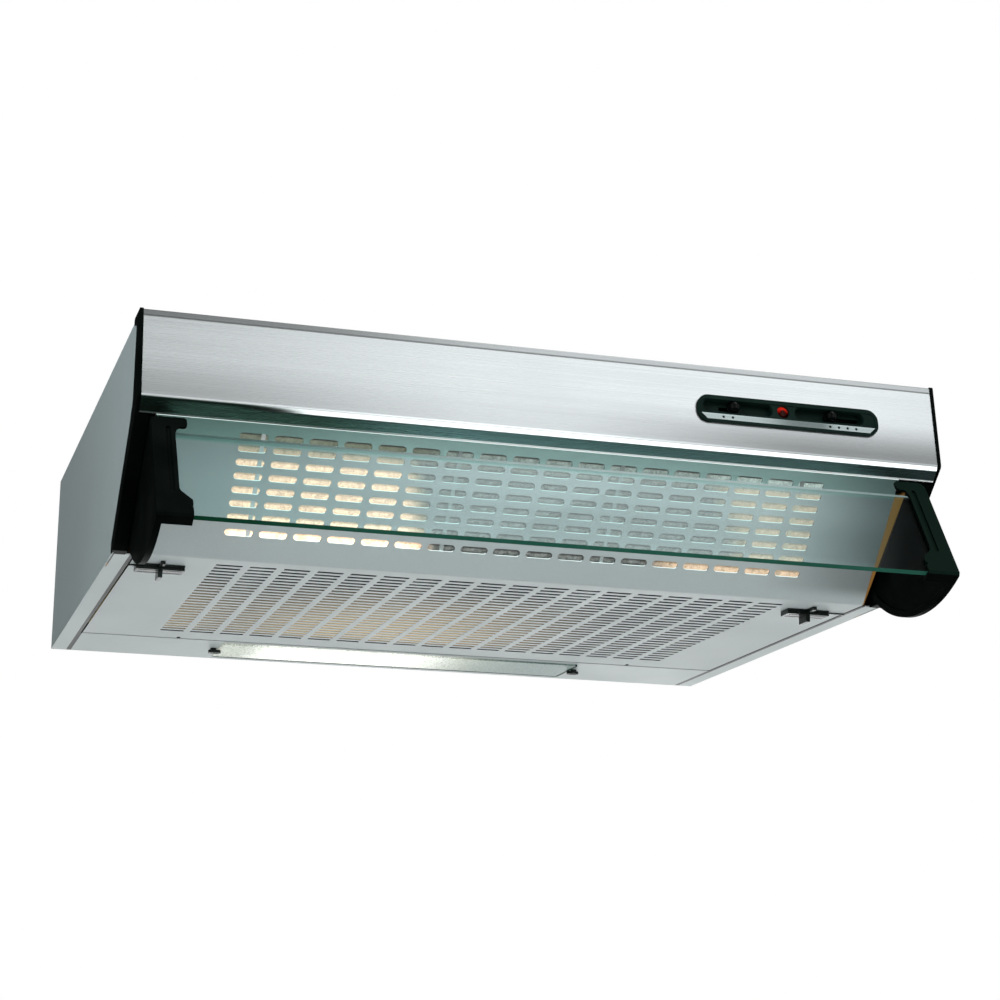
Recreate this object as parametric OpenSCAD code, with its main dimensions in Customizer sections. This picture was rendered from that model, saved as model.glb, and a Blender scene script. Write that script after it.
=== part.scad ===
// Under-cabinet range hood with a swing-out glass visor and a drop-down filter grille.
// Millimetres. X runs across the hood, Y = 0 is the wall and the front is -Y, Z = 0 is the underside.

/* [Casing] */
// Overall width across the end cheeks
hood_w = 598; // [580:1:616]
// Height of the casing
hood_h = 150; // [147:1:156]
// Depth from the wall to the front bend
hood_d = 505; // [495:1:520]
// Thickness of the painted steel
sheet_t = 1; // [0.8:0.1:1.2]
// Width of the turned-in rim under each side
rim_w = 15.5; // [14.5:0.5:16]
// Height of the lip that stands up from each rim
rim_lip_h = 8; // [6:0.5:10]
// Width of the flanges inside the top corners
flange_w = 13; // [9:0.5:14]

/* [Front panel] */
// Height of the front face above its bend
face_h = 63.4; // [61:0.2:65]
// How far the top edge of the face is set back
face_lean = 8.7; // [7:0.1:10]
// Length of the lip below the bend
lip_l = 13.3; // [12:0.1:14]
// Slope of the lip from level
lip_angle = 49.6; // [47:0.1:52]
// Width of the hem folded up inside the lip
hem_w = 5; // [3:0.5:6]
// Thickness of the front sheet
front_t = 0.8; // [0.6:0.1:1]
// Outer radius of the front bend
bend_r = 5; // [3:0.5:6]
// Outer radius of the top edge
top_edge_r = 1.8; // [1.2:0.1:2.5]
// Width of the flange that lies on the top panel
top_flange_w = 24; // [18:1:28]
// Distance of the score line below the top edge
score_drop = 4.6; // [3.5:0.1:6]

/* [Cheeks] */
// Width of each end cheek
cheek_w = 10; // [9:0.5:10.5]
// Thickness of the cheek's skin outside the side panel
cheek_skin = 1; // [0.8:0.1:1.5]
// Width of the cheek's edge beside the front panel
cheek_edge = 2.6; // [2.4:0.1:3]
// How far the cheek stands proud of the front panel
cheek_proud = 0.8; // [0.5:0.1:1]
// Depth of the cheek's edge in front of the side panel
cheek_lap = 8; // [6:0.5:9]
// Depth of the hook at the cheek's top
cheek_hook = 27; // [22:1:32]

/* [Grille] */
// Distance of the grille's rear edge from the wall
grille_rear = 87.5; // [87:0.1:90]
// Gap between the grille and the rims
grille_gap = 1.3; // [0.8:0.1:1.6]
// Slope of the grille's front from level
slope_angle = 50.8; // [49:0.1:52]
// Outer radius of the grille's fold
fold_r = 3; // [2:0.2:4]
// Pitch of the slot columns
slot_pitch_x = 24.9; // [24:0.1:26]
// Length of a slot in the front
front_slot_l = 20.5; // [19:0.1:21.5]
// Height of a slot in the front
front_slot_w = 5.5; // [4:0.1:6]
// Pitch of the slot rows in the front
front_pitch = 10.7; // [9.5:0.1:11.5]
// Distance of the lowest front row from the fold
front_first = 22.3; // [20:0.1:24]
// Distance from the grille's side to the slots
slot_margin_x = 57; // [54:0.5:60]
// Length of a slot in the floor
floor_slot_l = 19.4; // [17:0.1:21]
// Width of a slot in the floor
floor_slot_w = 5; // [3:0.1:5.5]
// Pitch of the slot rows in the floor
floor_pitch = 10.55; // [10:0.05:12]
// Distance of the rearmost floor row from the wall
floor_first = 121; // [118:1:124]
// Distance of a grille hinge from the grille's side
hinge_inset = 81.2; // [70:0.2:90]

/* [Filter mat] */
// Thickness of the grease mat
mat_t = 6; // [4:0.5:8]
// How far the grease mat reaches past the outer slots
mat_lap = 2.2; // [1:0.1:6]
// Distance of the mat's rear edge from the wall
mat_rear = 99; // [97:1:102]
// Width of the straps under the mat on the floor
strap_w = 12; // [8:1:14]
// Width of the straps under the mat on the front
front_strap_w = 3; // [2:0.5:4]
// Thickness of the straps
strap_t = 1; // [0.8:0.1:1.2]

/* [Visor] */
// Distance of the visor's pivot behind the front bend
pivot_back = 19.1; // [18:0.1:20]
// Height of the pivot above the front bend
pivot_up = 1.7; // [1:0.1:2.5]
// Clearance between the pivot's plane and the grille
visor_gap = 8.1; // [7.8:0.1:9]
// Slope of the open visor below level
open_angle = 57.5; // [56:0.5:59]
// Distance of the glass's near edge from the pivot
glass_near = 29.7; // [28:0.1:33]
// Distance of the glass's far edge from the pivot
glass_far = 108.5; // [106:0.1:109]
// Thickness of the glass
glass_t = 4; // [3:0.1:4.5]
// Radius of the arm's quadrant
arm_r = 111; // [110:0.5:112]
// Angle that the quadrant spans
arm_sweep = 75; // [65:1:80]
// Thickness of the quadrant
arm_t = 3; // [2.5:0.1:3.5]
// Thickness of the arm's face in front of the glass
arm_face_t = 2; // [1.5:0.1:2.2]
// Width of the arm's face
arm_face_w = 16; // [13:0.5:16.5]
// Width of the arm's foot and hook
arm_foot_w = 24.5; // [24:0.5:27]
// Radius of the pivot pins
pin_r = 3; // [2.5:0.1:3.5]

/* [Latches] */
// Distance of a latch's middle from the grille's side
latch_inset = 27.2; // [26:0.1:28]
// How far both latches sit to the left of mirrored places
latch_shift = 5.7; // [4:0.1:6]
// Distance of a latch behind the grille's fold
latch_back = 35.4; // [33:0.2:37]
// Length of a latch's bar
latch_l = 35; // [30:1:37]
// Width of a latch's bar
latch_w = 14; // [10:0.5:16]
// Height of a latch's bar below the grille
latch_h = 4; // [3:0.5:5]
// Height of a latch's finger tab
tab_h = 5.5; // [4:0.5:7]
// Length of the fin in front of a latch's bar
fin_l = 12; // [8:0.5:14]
// Travel of a latch
latch_travel = 8; // [5:0.5:8]

/* [Lamp] */
// Length of the lamp cover
cover_l = 320; // [300:1:330]
// Width of the lamp cover
cover_w = 62; // [60:1:64]
// Distance of the lamp cover's middle from the wall
cover_y = 46; // [45:0.5:47]
// Thickness of the lamp cover
cover_t = 1.5; // [1.2:0.1:2]
// Length of a turn clip
clip_l = 11; // [9:0.5:12]
// Width of a turn clip
clip_w = 6.5; // [5:0.1:7]
// How far the turn clips sit in front of the cover's middle
clip_ahead = 3.5; // [0:0.5:6]
// Radius of the bulb
bulb_r = 12.5; // [10:0.5:13]
// Length of the bulb's glass
bulb_l = 84; // [70:1:95]
// Distance of the bulb's cap from the centre line
bulb_x = 70; // [60:1:80]

/* [Controls] */
// Length of the control bezel
bezel_l = 144; // [140:1:150]
// Height of the control bezel
bezel_w = 21; // [20:0.5:23]
// Distance of the bezel's middle from the front panel's end
bezel_inset = 118.8; // [112:0.2:125]
// Distance of the bezel's middle below the top edge
bezel_drop = 34.1; // [33:0.1:36]
// Depth of the slider recesses
recess_d = 4; // [3:0.1:5]
// Distance of the light slider from the bezel's middle
light_x = -42.8; // [-46:0.2:-40]
// Travel of the light slider
light_travel = 7.3; // [6:0.1:8]
// Distance of the fan slider from the bezel's middle
fan_x = 34.6; // [32:0.2:36]
// Travel of the fan slider
fan_travel = 21; // [18:0.1:21]
// Distance of the red lens from the bezel's middle
lens_x = -4.1; // [-5:0.1:-3]
// Radius of the red lens
lens_r = 4.7; // [4:0.1:4.8]

/* [Fan] */
// Distance of the fan's axis from the wall
fan_y = 215; // [210:1:220]
// Outer radius of the fan drum
drum_r = 62; // [58:1:63]
// Outer length of the fan drum
drum_l = 170; // [164:1:180]
// Wall of the fan drum
drum_t = 2; // [1.5:0.1:2.5]
// Radius of the fan drum's inlets
inlet_r = 40; // [36:1:42]
// Outer radius of the impellers
wheel_r = 48; // [45:1:52]
// Number of blades on an impeller
blades = 24; // [16:1:30]
// Radius of the motor
motor_r = 36; // [32:1:38]
// Length of the motor
motor_l = 60; // [54:1:64]
// Radius of the fan's shaft
shaft_r = 4; // [3:0.5:5]

/* [Duct] */
// Outer radius of the duct collar
duct_r = 60; // [55:0.5:60.5]
// Height of the duct collar above its flange
duct_h = 38; // [34:1:42]
// Wall of the duct collar
duct_t = 2; // [1.5:0.1:2.5]
// Distance of the duct collar from the wall
duct_y = 190; // [188:1:194]
// Height of the flap pin above the top panel
flap_up = 14; // [12:1:18]
// Radius of the flap pin
flap_pin_r = 2; // [1.5:0.1:2.5]

/* [Fixings] */
// Spacing of the wall screws
wall_pitch = 460; // [400:5:500]
// Height of the wall screws
wall_z = 125; // [115:1:128]
// Radius of the wall screw holes
wall_hole_r = 4; // [3:0.25:5]
// Spacing of the cabinet screws across the hood
cabinet_pitch_x = 440; // [400:5:460]
// Spacing of the cabinet screws front to back
cabinet_pitch_y = 200; // [180:5:220]
// Distance of the front cabinet screws from the wall
cabinet_front = 360; // [340:5:380]
// Radius of the cabinet screw holes
cabinet_hole_r = 2.75; // [2:0.25:3.5]
// Radius of the cable passage in the gland
cable_r = 4.2; // [3.5:0.1:5]

/* [Hidden] */
$fn = 48;

// Clearances
slide_gap = 0.2;
run_gap = 0.06;
hole_gap = 0.1;
seat_gap = 0.2;
overcut = 1;
arc_steps = 10;

// Casing
back_lip_w = 8;
half_w = hood_w / 2;
side_out = half_w - cheek_skin;
side_in = side_out - sheet_t;
rim_in = side_out - rim_w;
cheek_in = half_w - cheek_w;
front_half = half_w - cheek_edge;
bend_z = hood_h - face_h;
face_top_d = hood_d - face_lean;
face_l = norm([face_h, face_lean]);
face_tilt = atan(face_lean / face_h);
lip_end = [lip_l * cos(lip_angle) - hood_d, bend_z - lip_l * sin(lip_angle)];
hem_r = 1.1;
score_w = 0.8;
bezel_x = front_half - bezel_inset;
beyond = 40;

// Grille and visor
pivot_d = hood_d - pivot_back;
pivot_z = bend_z + pivot_up;
fold_d = pivot_d - (visor_gap + pivot_z * cos(slope_angle)) / sin(slope_angle);
grille_half = rim_in - grille_gap;
slope_drop = 3;
slope_l = (bend_z - slope_drop) / sin(slope_angle);
slope_top = [-fold_d - slope_l * cos(slope_angle), slope_l * sin(slope_angle)];
fold_leg = 4;
slot_margin_front = 17;
columns = floor((2 * grille_half - 2 * slot_margin_x) / slot_pitch_x);
front_rows = floor((slope_l - front_first - front_slot_w) / front_pitch) + 1;
floor_rows = floor((fold_d - slot_margin_front - floor_first) / floor_pitch) + 1;

// Grease mat
mat_under = sheet_t + strap_t + seat_gap;
mat_w = (columns - 1) * slot_pitch_x + front_slot_l + 2 * mat_lap;
strap_places = [0.076, 0.355, 0.645, 0.973];
front_strap_places = [0.043, 0.362, 0.638, 0.957];

// Grille hinge
hinge_x = grille_half - hinge_inset;
hinge_d = grille_rear + 2.7;
hinge_z = sheet_t + 2.3;
hinge_pin_r = 1.25;
hinge_ear_r = 2.7;
hinge_ear_t = 1.8;
hinge_side_gap = 0.4;
notch_gap = 0.6;
notch_d = 6;
tray_gap = 3;
tray_front = grille_rear - tray_gap;
tray_flange_h = 8;

// Latches
latch_x = grille_half - latch_inset;
latch_y = fold_d - latch_back;
latch_neck_l = 10;
latch_neck_w = 6;
latch_plate_t = 1.2;
tab_t = 3.2;
fin_h = 2.6;
neck_gap = 0.4;
latch_groove = 4.2;

// Visor arms
arm_gap = 0.5;
arm_out = cheek_in - arm_gap;
arm_in = arm_out - arm_t;
arm_rim_w = 5;
arm_rim_t = 1.4;
arm_hub_r = 9;
hook_near = 16.5;
hook_far = 25.5;
clamp_lap = 1;
clamp_t = 1.4;
groove_w = 3.2;
groove_inset = 3;
bevel = 1.6;
notch_r = 1.3;
foot_near = 96;
foot_depth = 7.5;
pin_head_r = 5;
pin_head_t = 1.3;
pin_reach = 7;
boss_r = 8;

// Controls
window_h = 9.6;
window_y = 2.3;
tub_depth = recess_d + 3;
window_light = [-67.5, -12.6];
window_fan = [5.1, 60.6];
window_r = 4.4;
rim_t = 2.2;
field_t = 1.6;
field_w = 15.8;
field_y = -0.6;
knob_l = 9;
knob_r = 4.2;
stem_l = 3;
stem_w = 2.4;
stem_reach = 4;
strip_h = 4.4;
strip_y = -6.2;
strip_end = 2.8;
strip_slant = 4.5;
strip_t = 0.5;
switch_l = 30;
switch_h = 14;
switch_d = 12;

// Fan
fan_z = (mat_under + mat_t + hood_h - sheet_t) / 2;
neck_half_x = 57;
neck_half_y = 57;
wheel_in = motor_l / 2 + 5;
wheel_out = drum_l / 2 - drum_t - 3;
flap_z = hood_h + flap_up;
collar_flange_t = 2;
pin_boss_r = 5;
pin_boss_l = 6;
collar_flange = 148;
collar_hole_pitch = 132;
gland_x = 160;
capacitor_x = -150;
gland_d = 50;

function unit(v) = v / norm(v);
function left_of(v) = [-v[1], v[0]];
function turned(v, angle) = [
    v[0] * cos(angle) - v[1] * sin(angle),
    v[0] * sin(angle) + v[1] * cos(angle)
];
function turn_side(a, b) = sign(a[0] * b[1] - a[1] * b[0]);
function reversed(p) = [for (i = [len(p) - 1 : -1 : 0]) p[i]];

// A path moved sideways by t, to the left of its direction
function moved(p, t) = [
    for (i = [0 : len(p) - 1])
        let (
            a = left_of(unit(i == 0 ? p[1] - p[0] : p[i] - p[i - 1])),
            b = left_of(unit(i == len(p) - 1 ? p[i] - p[i - 1] : p[i + 1] - p[i]))
        )
        p[i] + t * (a + b) / (1 + a * b)
];

// The arc that rounds the corner b between a and c
function corner(a, b, c, r) =
    let (
        u = unit(a - b),
        v = unit(c - b),
        half = acos(u * v) / 2,
        middle = b + unit(u + v) * r / sin(half),
        start = b + u * r / tan(half) - middle,
        sweep = turn_side(b - a, c - b) * (180 - 2 * half)
    )
    [for (k = [0 : arc_steps]) middle + turned(start, sweep * k / arc_steps)];

// A path whose inner corners are rounded to the radii in r
function rounded(p, r) = [
    for (i = [0 : len(p) - 1])
        each (i == 0 || i == len(p) - 1 || r[i] <= 0)
            ? [p[i]]
            : corner(p[i - 1], p[i], p[i + 1], r[i])
];

// The outline of a bent sheet that lies to the left of a path, or to the right where t is negative
function sheet_outline(p, r, t) =
    let (
        inner_r = [
            for (i = [0 : len(p) - 1])
                (i == 0 || i == len(p) - 1 || r[i] <= 0)
                    ? 0
                    : max(r[i] - t * turn_side(p[i] - p[i - 1], p[i + 1] - p[i]), 0.05)
        ]
    )
    concat(rounded(p, r), reversed(rounded(moved(p, t), inner_r)));

// The outline of a closed polygon with every corner rounded
function rounded_loop(p, r) = [
    for (i = [0 : len(p) - 1])
        each (r[i] <= 0)
            ? [p[i]]
            : corner(p[(i + len(p) - 1) % len(p)], p[i], p[(i + 1) % len(p)], r[i])
];

// A side view, drawn as [Y, Z], made solid from x0 to x1
module along_x(x0, x1) {
    translate([x0, 0, 0]) rotate([90, 0, 90]) linear_extrude(x1 - x0) children();
}

module box(low, high) {
    translate(low) cube(high - low);
}

// A round bar along X
module bar_x(x0, x1, y, z, r) {
    translate([x0, y, z]) rotate([0, 90, 0]) cylinder(h = x1 - x0, r = r);
}

module both_sides() {
    children();
    mirror([1, 0, 0]) children();
}

module rounded_rect(w, h, r) {
    square([w - 2 * r, h], center = true);
    square([w, h - 2 * r], center = true);
    for (sx = [-1, 1], sy = [-1, 1])
        translate([sx * (w / 2 - r), sy * (h / 2 - r)]) circle(r);
}

// A slot with round ends
module slot_2d(l, w) {
    square([l - w, w], center = true);
    for (s = [-1, 1])
        translate([s * (l - w) / 2, 0]) circle(d = w, $fn = 24);
}

// Places children on the front face: X along it, Y up it, Z out of it
module on_face(x, drop) {
    up = face_l - drop;
    translate([x, -hood_d + up * sin(face_tilt), bend_z + up * cos(face_tilt)])
        rotate([90 - face_tilt, 0, 0]) children();
}

// Places children on the grille's front: Y up it from the fold, Z out of it
module on_slope() {
    translate([0, -fold_d, 0]) rotate([180 - slope_angle, 0, 0]) children();
}

// Places children on the open visor: Y from the pivot to the far edge, Z to its inner side
module on_visor() {
    translate([0, -pivot_d, pivot_z]) rotate([180 + open_angle, 0, 0]) children();
}

// The front edge of a side panel, from the top down
side_edge = [
    [cheek_lap - face_top_d, hood_h],
    [cheek_lap + 1 - hood_d, bend_z],
    [-fold_d - 1, 0]
];
rim_front = fold_d - 4.5;

module side_panel() {
    color("silver") {
        difference() {
            union() {
                along_x(side_in, side_out) polygon(concat([[0, 0], [0, hood_h]], side_edge));
                box([rim_in, -rim_front, 0], [side_in + sheet_t / 2, -sheet_t, sheet_t]);
                box([rim_in, -rim_front, 0], [rim_in + sheet_t, -tray_front, sheet_t + rim_lip_h]);
                box(
                    [side_in - flange_w, cheek_lap + 10 - face_top_d, hood_h - 2 * sheet_t],
                    [side_in + sheet_t / 2, -sheet_t, hood_h - sheet_t]
                );
            }
            top_screw_places() screw_hole();
        }
    }
}

module side_panel_left() {
    mirror([1, 0, 0]) side_panel();
}

module side_panel_right() {
    side_panel();
}

module back_panel() {
    color("silver") {
        difference() {
            union() {
                box([-side_in, -sheet_t, 0], [side_in, 0, hood_h]);
                box(
                    [flange_w + seat_gap - side_in, -flange_w, hood_h - 2 * sheet_t],
                    [side_in - flange_w - seat_gap, -sheet_t / 2, hood_h - sheet_t]
                );
                box([seat_gap - rim_in, -back_lip_w, sheet_t], [rim_in - seat_gap, -sheet_t / 2, 2 * sheet_t]);
            }
            for (s = [-1, 1])
                translate([s * wall_pitch / 2, overcut, wall_z])
                    rotate([90, 0, 0]) cylinder(h = sheet_t + 2 * overcut, r = wall_hole_r);
        }
    }
}

// The screws that hold the top panel to the side panels
screw_rear = 60;
screw_front = 66;
screw_ys = [screw_rear, (screw_rear + face_top_d - screw_front) / 2, face_top_d - screw_front];
screw_r = 2;
screw_head_r = 4;
screw_head_h = 2;
screw_shank = 4;

module top_screw_places() {
    for (y = screw_ys)
        translate([side_in - flange_w / 2, -y, hood_h]) children();
}

module screw_hole() {
    translate([0, 0, -3 * sheet_t]) cylinder(h = 6 * sheet_t, r = screw_r + hole_gap, $fn = 24);
}

module screw(head_z) {
    translate([0, 0, head_z]) difference() {
        cylinder(h = screw_head_h, r = screw_head_r, $fn = 24);
        for (a = [0, 90])
            rotate([0, 0, a]) translate([-screw_head_r * 0.6, -0.5, screw_head_h * 0.4])
                cube([screw_head_r * 1.2, 1, screw_head_h]);
    }
    translate([0, 0, head_z - screw_shank]) cylinder(h = screw_shank, r = screw_r, $fn = 24);
}

module top_screws() {
    color("dimgray") both_sides() top_screw_places() screw(0);
}

module collar_hole_places() {
    for (sx = [-1, 1], sy = [-1, 1])
        translate([sx * collar_hole_pitch / 2, sy * collar_hole_pitch / 2 - duct_y, hood_h]) children();
}

module collar_screws() {
    color("dimgray") collar_hole_places() screw(collar_flange_t);
}

module top_panel() {
    color("silver") {
        difference() {
            box([-side_in, cheek_lap - face_top_d, hood_h - sheet_t], [side_in, -sheet_t, hood_h]);
            translate([0, -duct_y, hood_h - sheet_t - overcut])
                cylinder(h = sheet_t + 2 * overcut, r = duct_r - duct_t, $fn = 96);
            for (sx = [-1, 1], sy = [0, 1])
                translate([
                    sx * cabinet_pitch_x / 2,
                    sy * cabinet_pitch_y - cabinet_front,
                    hood_h - sheet_t - overcut
                ])
                    cylinder(h = sheet_t + 2 * overcut, r = cabinet_hole_r);
            both_sides() top_screw_places() screw_hole();
            collar_hole_places() screw_hole();
            translate([gland_x, -gland_d, hood_h - sheet_t - overcut])
                cylinder(h = sheet_t + 2 * overcut, r = gland_thread_r + hole_gap);
        }
    }
}

// The outside of the front sheet, from the top flange down to the folded hem
front_path = [
    [top_flange_w - face_top_d, hood_h + front_t],
    [front_t * tan(face_tilt) - face_top_d, hood_h + front_t],
    [-hood_d, bend_z],
    lip_end,
    lip_end + 2 * hem_r * [sin(lip_angle), cos(lip_angle)],
    lip_end + 2 * hem_r * [sin(lip_angle), cos(lip_angle)]
        + hem_w * [-cos(lip_angle), sin(lip_angle)]
];
front_radii = [0, top_edge_r, bend_r, hem_r - 0.05, hem_r - 0.05, 0];

module front_panel() {
    color("lightsteelblue") difference() {
        along_x(-front_half, front_half) polygon(sheet_outline(front_path, front_radii, front_t));
        on_face(0, score_drop)
            translate([-front_half - overcut, -score_w / 2, -front_t * 0.45])
                cube([2 * front_half + 2 * overcut, score_w, front_t]);
        on_face(bezel_x, bezel_drop)
            translate([0, 0, -3]) linear_extrude(6) rounded_rect(bezel_l - 3.6, bezel_w - 3.6, 6.8);
    }
}

// Carries the top edge of the grille and stiffens the casing behind the front panel
rail_back = 15.5;
rail_flange = 12;
rail_gap = 1.2;
rail_d = pivot_d - rail_back;
rail_path = [
    [rail_flange - rail_d, slope_top[1] + rail_gap],
    [-rail_d, slope_top[1] + rail_gap],
    [-rail_d, hood_h - 2 * sheet_t],
    [-rail_d - rail_flange, hood_h - 2 * sheet_t]
];

module front_rail() {
    color("darkgray")
        along_x(-grille_half, grille_half)
            polygon(sheet_outline(rail_path, [0, 2, 2, 0], -sheet_t));
}

// The side view of a cheek's skin: a top, a neck behind the front panel, a belly round the pivot and a toe
cheek_toe = 9;
cheek_toe_drop = 0.6;
cheek_heel_h = 7;
cheek_belly = [36, -12.6];
cheek_waist = [24.5, 2.5];
cheek_neck = [14, -5];
cheek_hook_t = 4;
cheek_top_z = hood_h + front_t + 0.4;
cheek_loop = [
    [-face_top_d - cheek_proud, cheek_top_z],
    [-hood_d - cheek_proud, bend_z],
    [-fold_d - cheek_toe, -cheek_toe_drop],
    [-rim_front - slide_gap, -cheek_toe_drop],
    [-rim_front - slide_gap, cheek_heel_h],
    [-hood_d, bend_z] + cheek_belly,
    [-hood_d, bend_z] + cheek_waist,
    [-face_top_d, hood_h] + cheek_neck,
    [cheek_hook - face_top_d, hood_h - cheek_hook_t],
    [cheek_hook - face_top_d, cheek_top_z]
];
cheek_radii = [1.5, 4, 3.5, 1, 4, 10, 8, 4, 2, 2];

// All that lies in front of the side panel's edge
module before_side_edge() {
    polygon(concat(
        [[-hood_d - beyond, hood_h + beyond]],
        [for (p = side_edge) p - [slide_gap, 0]],
        [[-fold_d - 1 - slide_gap, -beyond], [-hood_d - beyond, -beyond]]
    ));
}

// All that lies behind the front panel's sheet, clear of its hem, and under the top panel
module behind_front_panel() {
    gap = 2 * slide_gap;
    inner = moved([front_path[1], front_path[2], lip_end], front_t + gap);
    back = [cos(lip_angle), -sin(lip_angle)];
    inward = [sin(lip_angle), cos(lip_angle)];
    hem_start = lip_end - (hem_w + gap) * back;
    polygon(concat(
        [[0, hood_h - 3 * sheet_t], [inner[0][0], hood_h - 3 * sheet_t]],
        corner(inner[0], inner[1], inner[2], bend_r - front_t - slide_gap),
        [
            hem_start + (front_t + gap) * inward,
            hem_start + (2 * hem_r + gap) * inward,
            lip_end + (gap + hem_r) * back + (2 * hem_r + gap) * inward,
            lip_end + (gap + hem_r) * back - gap * inward,
            lip_end - beyond * back - gap * inward,
            [-hood_d - beyond, -beyond],
            [0, -beyond]
        ]
    ));
}

module cheek() {
    color("black") difference() {
        union() {
            along_x(side_out, half_w) polygon(rounded_loop(cheek_loop, cheek_radii));
            along_x(front_half + slide_gap, side_out) intersection() {
                polygon(rounded_loop(cheek_loop, cheek_radii));
                before_side_edge();
            }
            along_x(cheek_in, side_in - slide_gap) intersection() {
                polygon(rounded_loop(cheek_loop, cheek_radii));
                behind_front_panel();
            }
            bar_x(cheek_in, side_in - slide_gap, -pivot_d, pivot_z, boss_r);
        }
        bar_x(cheek_in - overcut, cheek_in + pin_reach, -pivot_d, pivot_z, pin_r + run_gap);
    }
}

module cheek_left() {
    mirror([1, 0, 0]) cheek();
}

module cheek_right() {
    cheek();
}

// The painted strip behind the grille, with the lamp opening
module rear_tray() {
    tray_half = rim_in - seat_gap;
    color("silver") difference() {
        union() {
            box([-tray_half, -tray_front, 0], [tray_half, -sheet_t, sheet_t]);
            box([-tray_half, -tray_front, 0], [tray_half, sheet_t - tray_front, sheet_t + tray_flange_h]);
            both_sides() tray_ear();
        }
        box([cover_lap - cover_l / 2, cover_lap - cover_y - cover_w / 2, -overcut],
            [cover_l / 2 - cover_lap, cover_w / 2 - cover_lap - cover_y, sheet_t + overcut]);
        for (s = [-1, 1])
            translate([s * clip_x, -clip_y, -overcut])
                cylinder(h = sheet_t + 2 * overcut, r = clip_stem_r + run_gap);
        both_sides()
            bar_x(hinge_x - 10, hinge_x + 10, -hinge_d, hinge_z, hinge_pin_r + 0.02);
    }
}

// The ear on the tray that holds a hinge pin
module tray_ear() {
    x0 = hinge_x + hinge_side_gap;
    along_x(x0, x0 + hinge_ear_t) difference() {
        union() {
            translate([-hinge_d, hinge_z]) circle(hinge_ear_r - 0.2);
            translate([-hinge_d, hinge_z - hinge_ear_r + 0.8])
                square([hinge_d - tray_front + sheet_t / 2, 2 * hinge_ear_r - 1.6]);
        }
        translate([-hinge_d, hinge_z]) circle(hinge_pin_r + 0.02);
    }
}

// Pins of the grille's hinge, with a head outside each tray ear
module hinge_pins() {
    x0 = hinge_x + hinge_side_gap;
    color("gray") both_sides() {
        bar_x(hinge_x - hinge_ear_t - 1, x0 + hinge_ear_t, -hinge_d, hinge_z, hinge_pin_r);
        bar_x(x0 + hinge_ear_t, x0 + hinge_ear_t + 1, -hinge_d, hinge_z, hinge_pin_r + 1);
    }
}

// Lamp parts
cover_lap = 3;
cover_wall = 1.5;
cover_r = 4;
clip_x = cover_l / 2 + 4.5;
clip_y = cover_y + clip_ahead;
clip_back = 1;
clip_t = 2.6;
clip_stem_r = 1.5;
clip_foot_r = 2.7;
reflector_t = 0.6;
reflector_h = 36;
reflector_half = cover_l / 2 - cover_lap;

module reflector() {
    front = -cover_y - cover_w / 2 + 1;
    rear = -cover_y + cover_w / 2 - 1;
    path = [
        [front - 4, sheet_t],
        [front, sheet_t],
        [front + 8, reflector_h],
        [rear - 8, reflector_h],
        [rear, sheet_t],
        [rear + 4, sheet_t]
    ];
    color("white") {
        along_x(-reflector_half, reflector_half)
            polygon(sheet_outline(path, [0, 1, 4, 4, 1, 0], reflector_t));
        both_sides() along_x(reflector_half - reflector_t, reflector_half)
            polygon([
                [front, sheet_t],
                [front + 8, reflector_h],
                [rear - 8, reflector_h],
                [rear, sheet_t]
            ]);
    }
}

// A plate with round corners and a low rim that stands in the tray's opening
module lamp_cover() {
    rim_l = cover_l - 2 * cover_lap - 2;
    rim_d = cover_w - 2 * cover_lap - 2;
    color("whitesmoke", 0.6) translate([0, -cover_y, 0]) {
        translate([0, 0, -cover_t]) linear_extrude(cover_t) rounded_rect(cover_l, cover_w, cover_r);
        translate([0, 0, -cover_t / 2]) linear_extrude(cover_t / 2 + 4) difference() {
            square([rim_l, rim_d], center = true);
            square([rim_l - 2 * cover_wall, rim_d - 2 * cover_wall], center = true);
        }
    }
}

module cover_clip() {
    low = -cover_t - slide_gap;
    color("black") translate([clip_x, -clip_y, 0]) {
        translate([-clip_back, 0, low - clip_t]) difference() {
            linear_extrude(clip_t) slot_2d(clip_l, clip_w);
            translate([0, 0, -overcut]) linear_extrude(overcut + 0.8) slot_2d(clip_l - 3, clip_w - 3);
        }
        translate([0, 0, low - 0.5]) cylinder(h = -low + 0.5 - slide_gap, r = clip_foot_r);
        translate([0, 0, low]) cylinder(h = sheet_t + 1.6 - low, r = clip_stem_r);
        translate([0, 0, sheet_t + slide_gap]) cylinder(h = 1, r = clip_foot_r);
    }
}

module cover_clip_left() {
    mirror([1, 0, 0]) cover_clip();
}

module cover_clip_right() {
    cover_clip();
}

lamp_z = sheet_t + 6 + bulb_r;

// The lamp's screw socket on its foot
module lamp_socket() {
    socket_r = bulb_r;
    color("white") {
        difference() {
            bar_x(-bulb_x - 30, -bulb_x - 2, -cover_y, lamp_z, socket_r);
            bar_x(-bulb_x - 22, -bulb_x, -cover_y, lamp_z, bulb_cap_r + hole_gap);
        }
        box([-bulb_x - 30, -cover_y - 8, lamp_z], [-bulb_x - 24, 8 - cover_y, reflector_h]);
    }
}

bulb_cap_r = 7;

module bulb() {
    color("lightyellow") {
        translate([-bulb_x, -cover_y, lamp_z]) rotate([0, 90, 0]) rotate_extrude() polygon(
            concat(
                [[0, -20], [bulb_cap_r, -20], [bulb_cap_r, 0]],
                [for (k = [0 : 6]) [
                    bulb_cap_r + (bulb_r - bulb_cap_r) * (1 - cos(k * 15)),
                    12 * sin(k * 15)
                ]],
                [for (k = [0 : 8]) [
                    bulb_r * cos(k * 11.25),
                    bulb_l - bulb_r + bulb_r * sin(k * 11.25)
                ]]
            )
        );
    }
}

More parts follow.
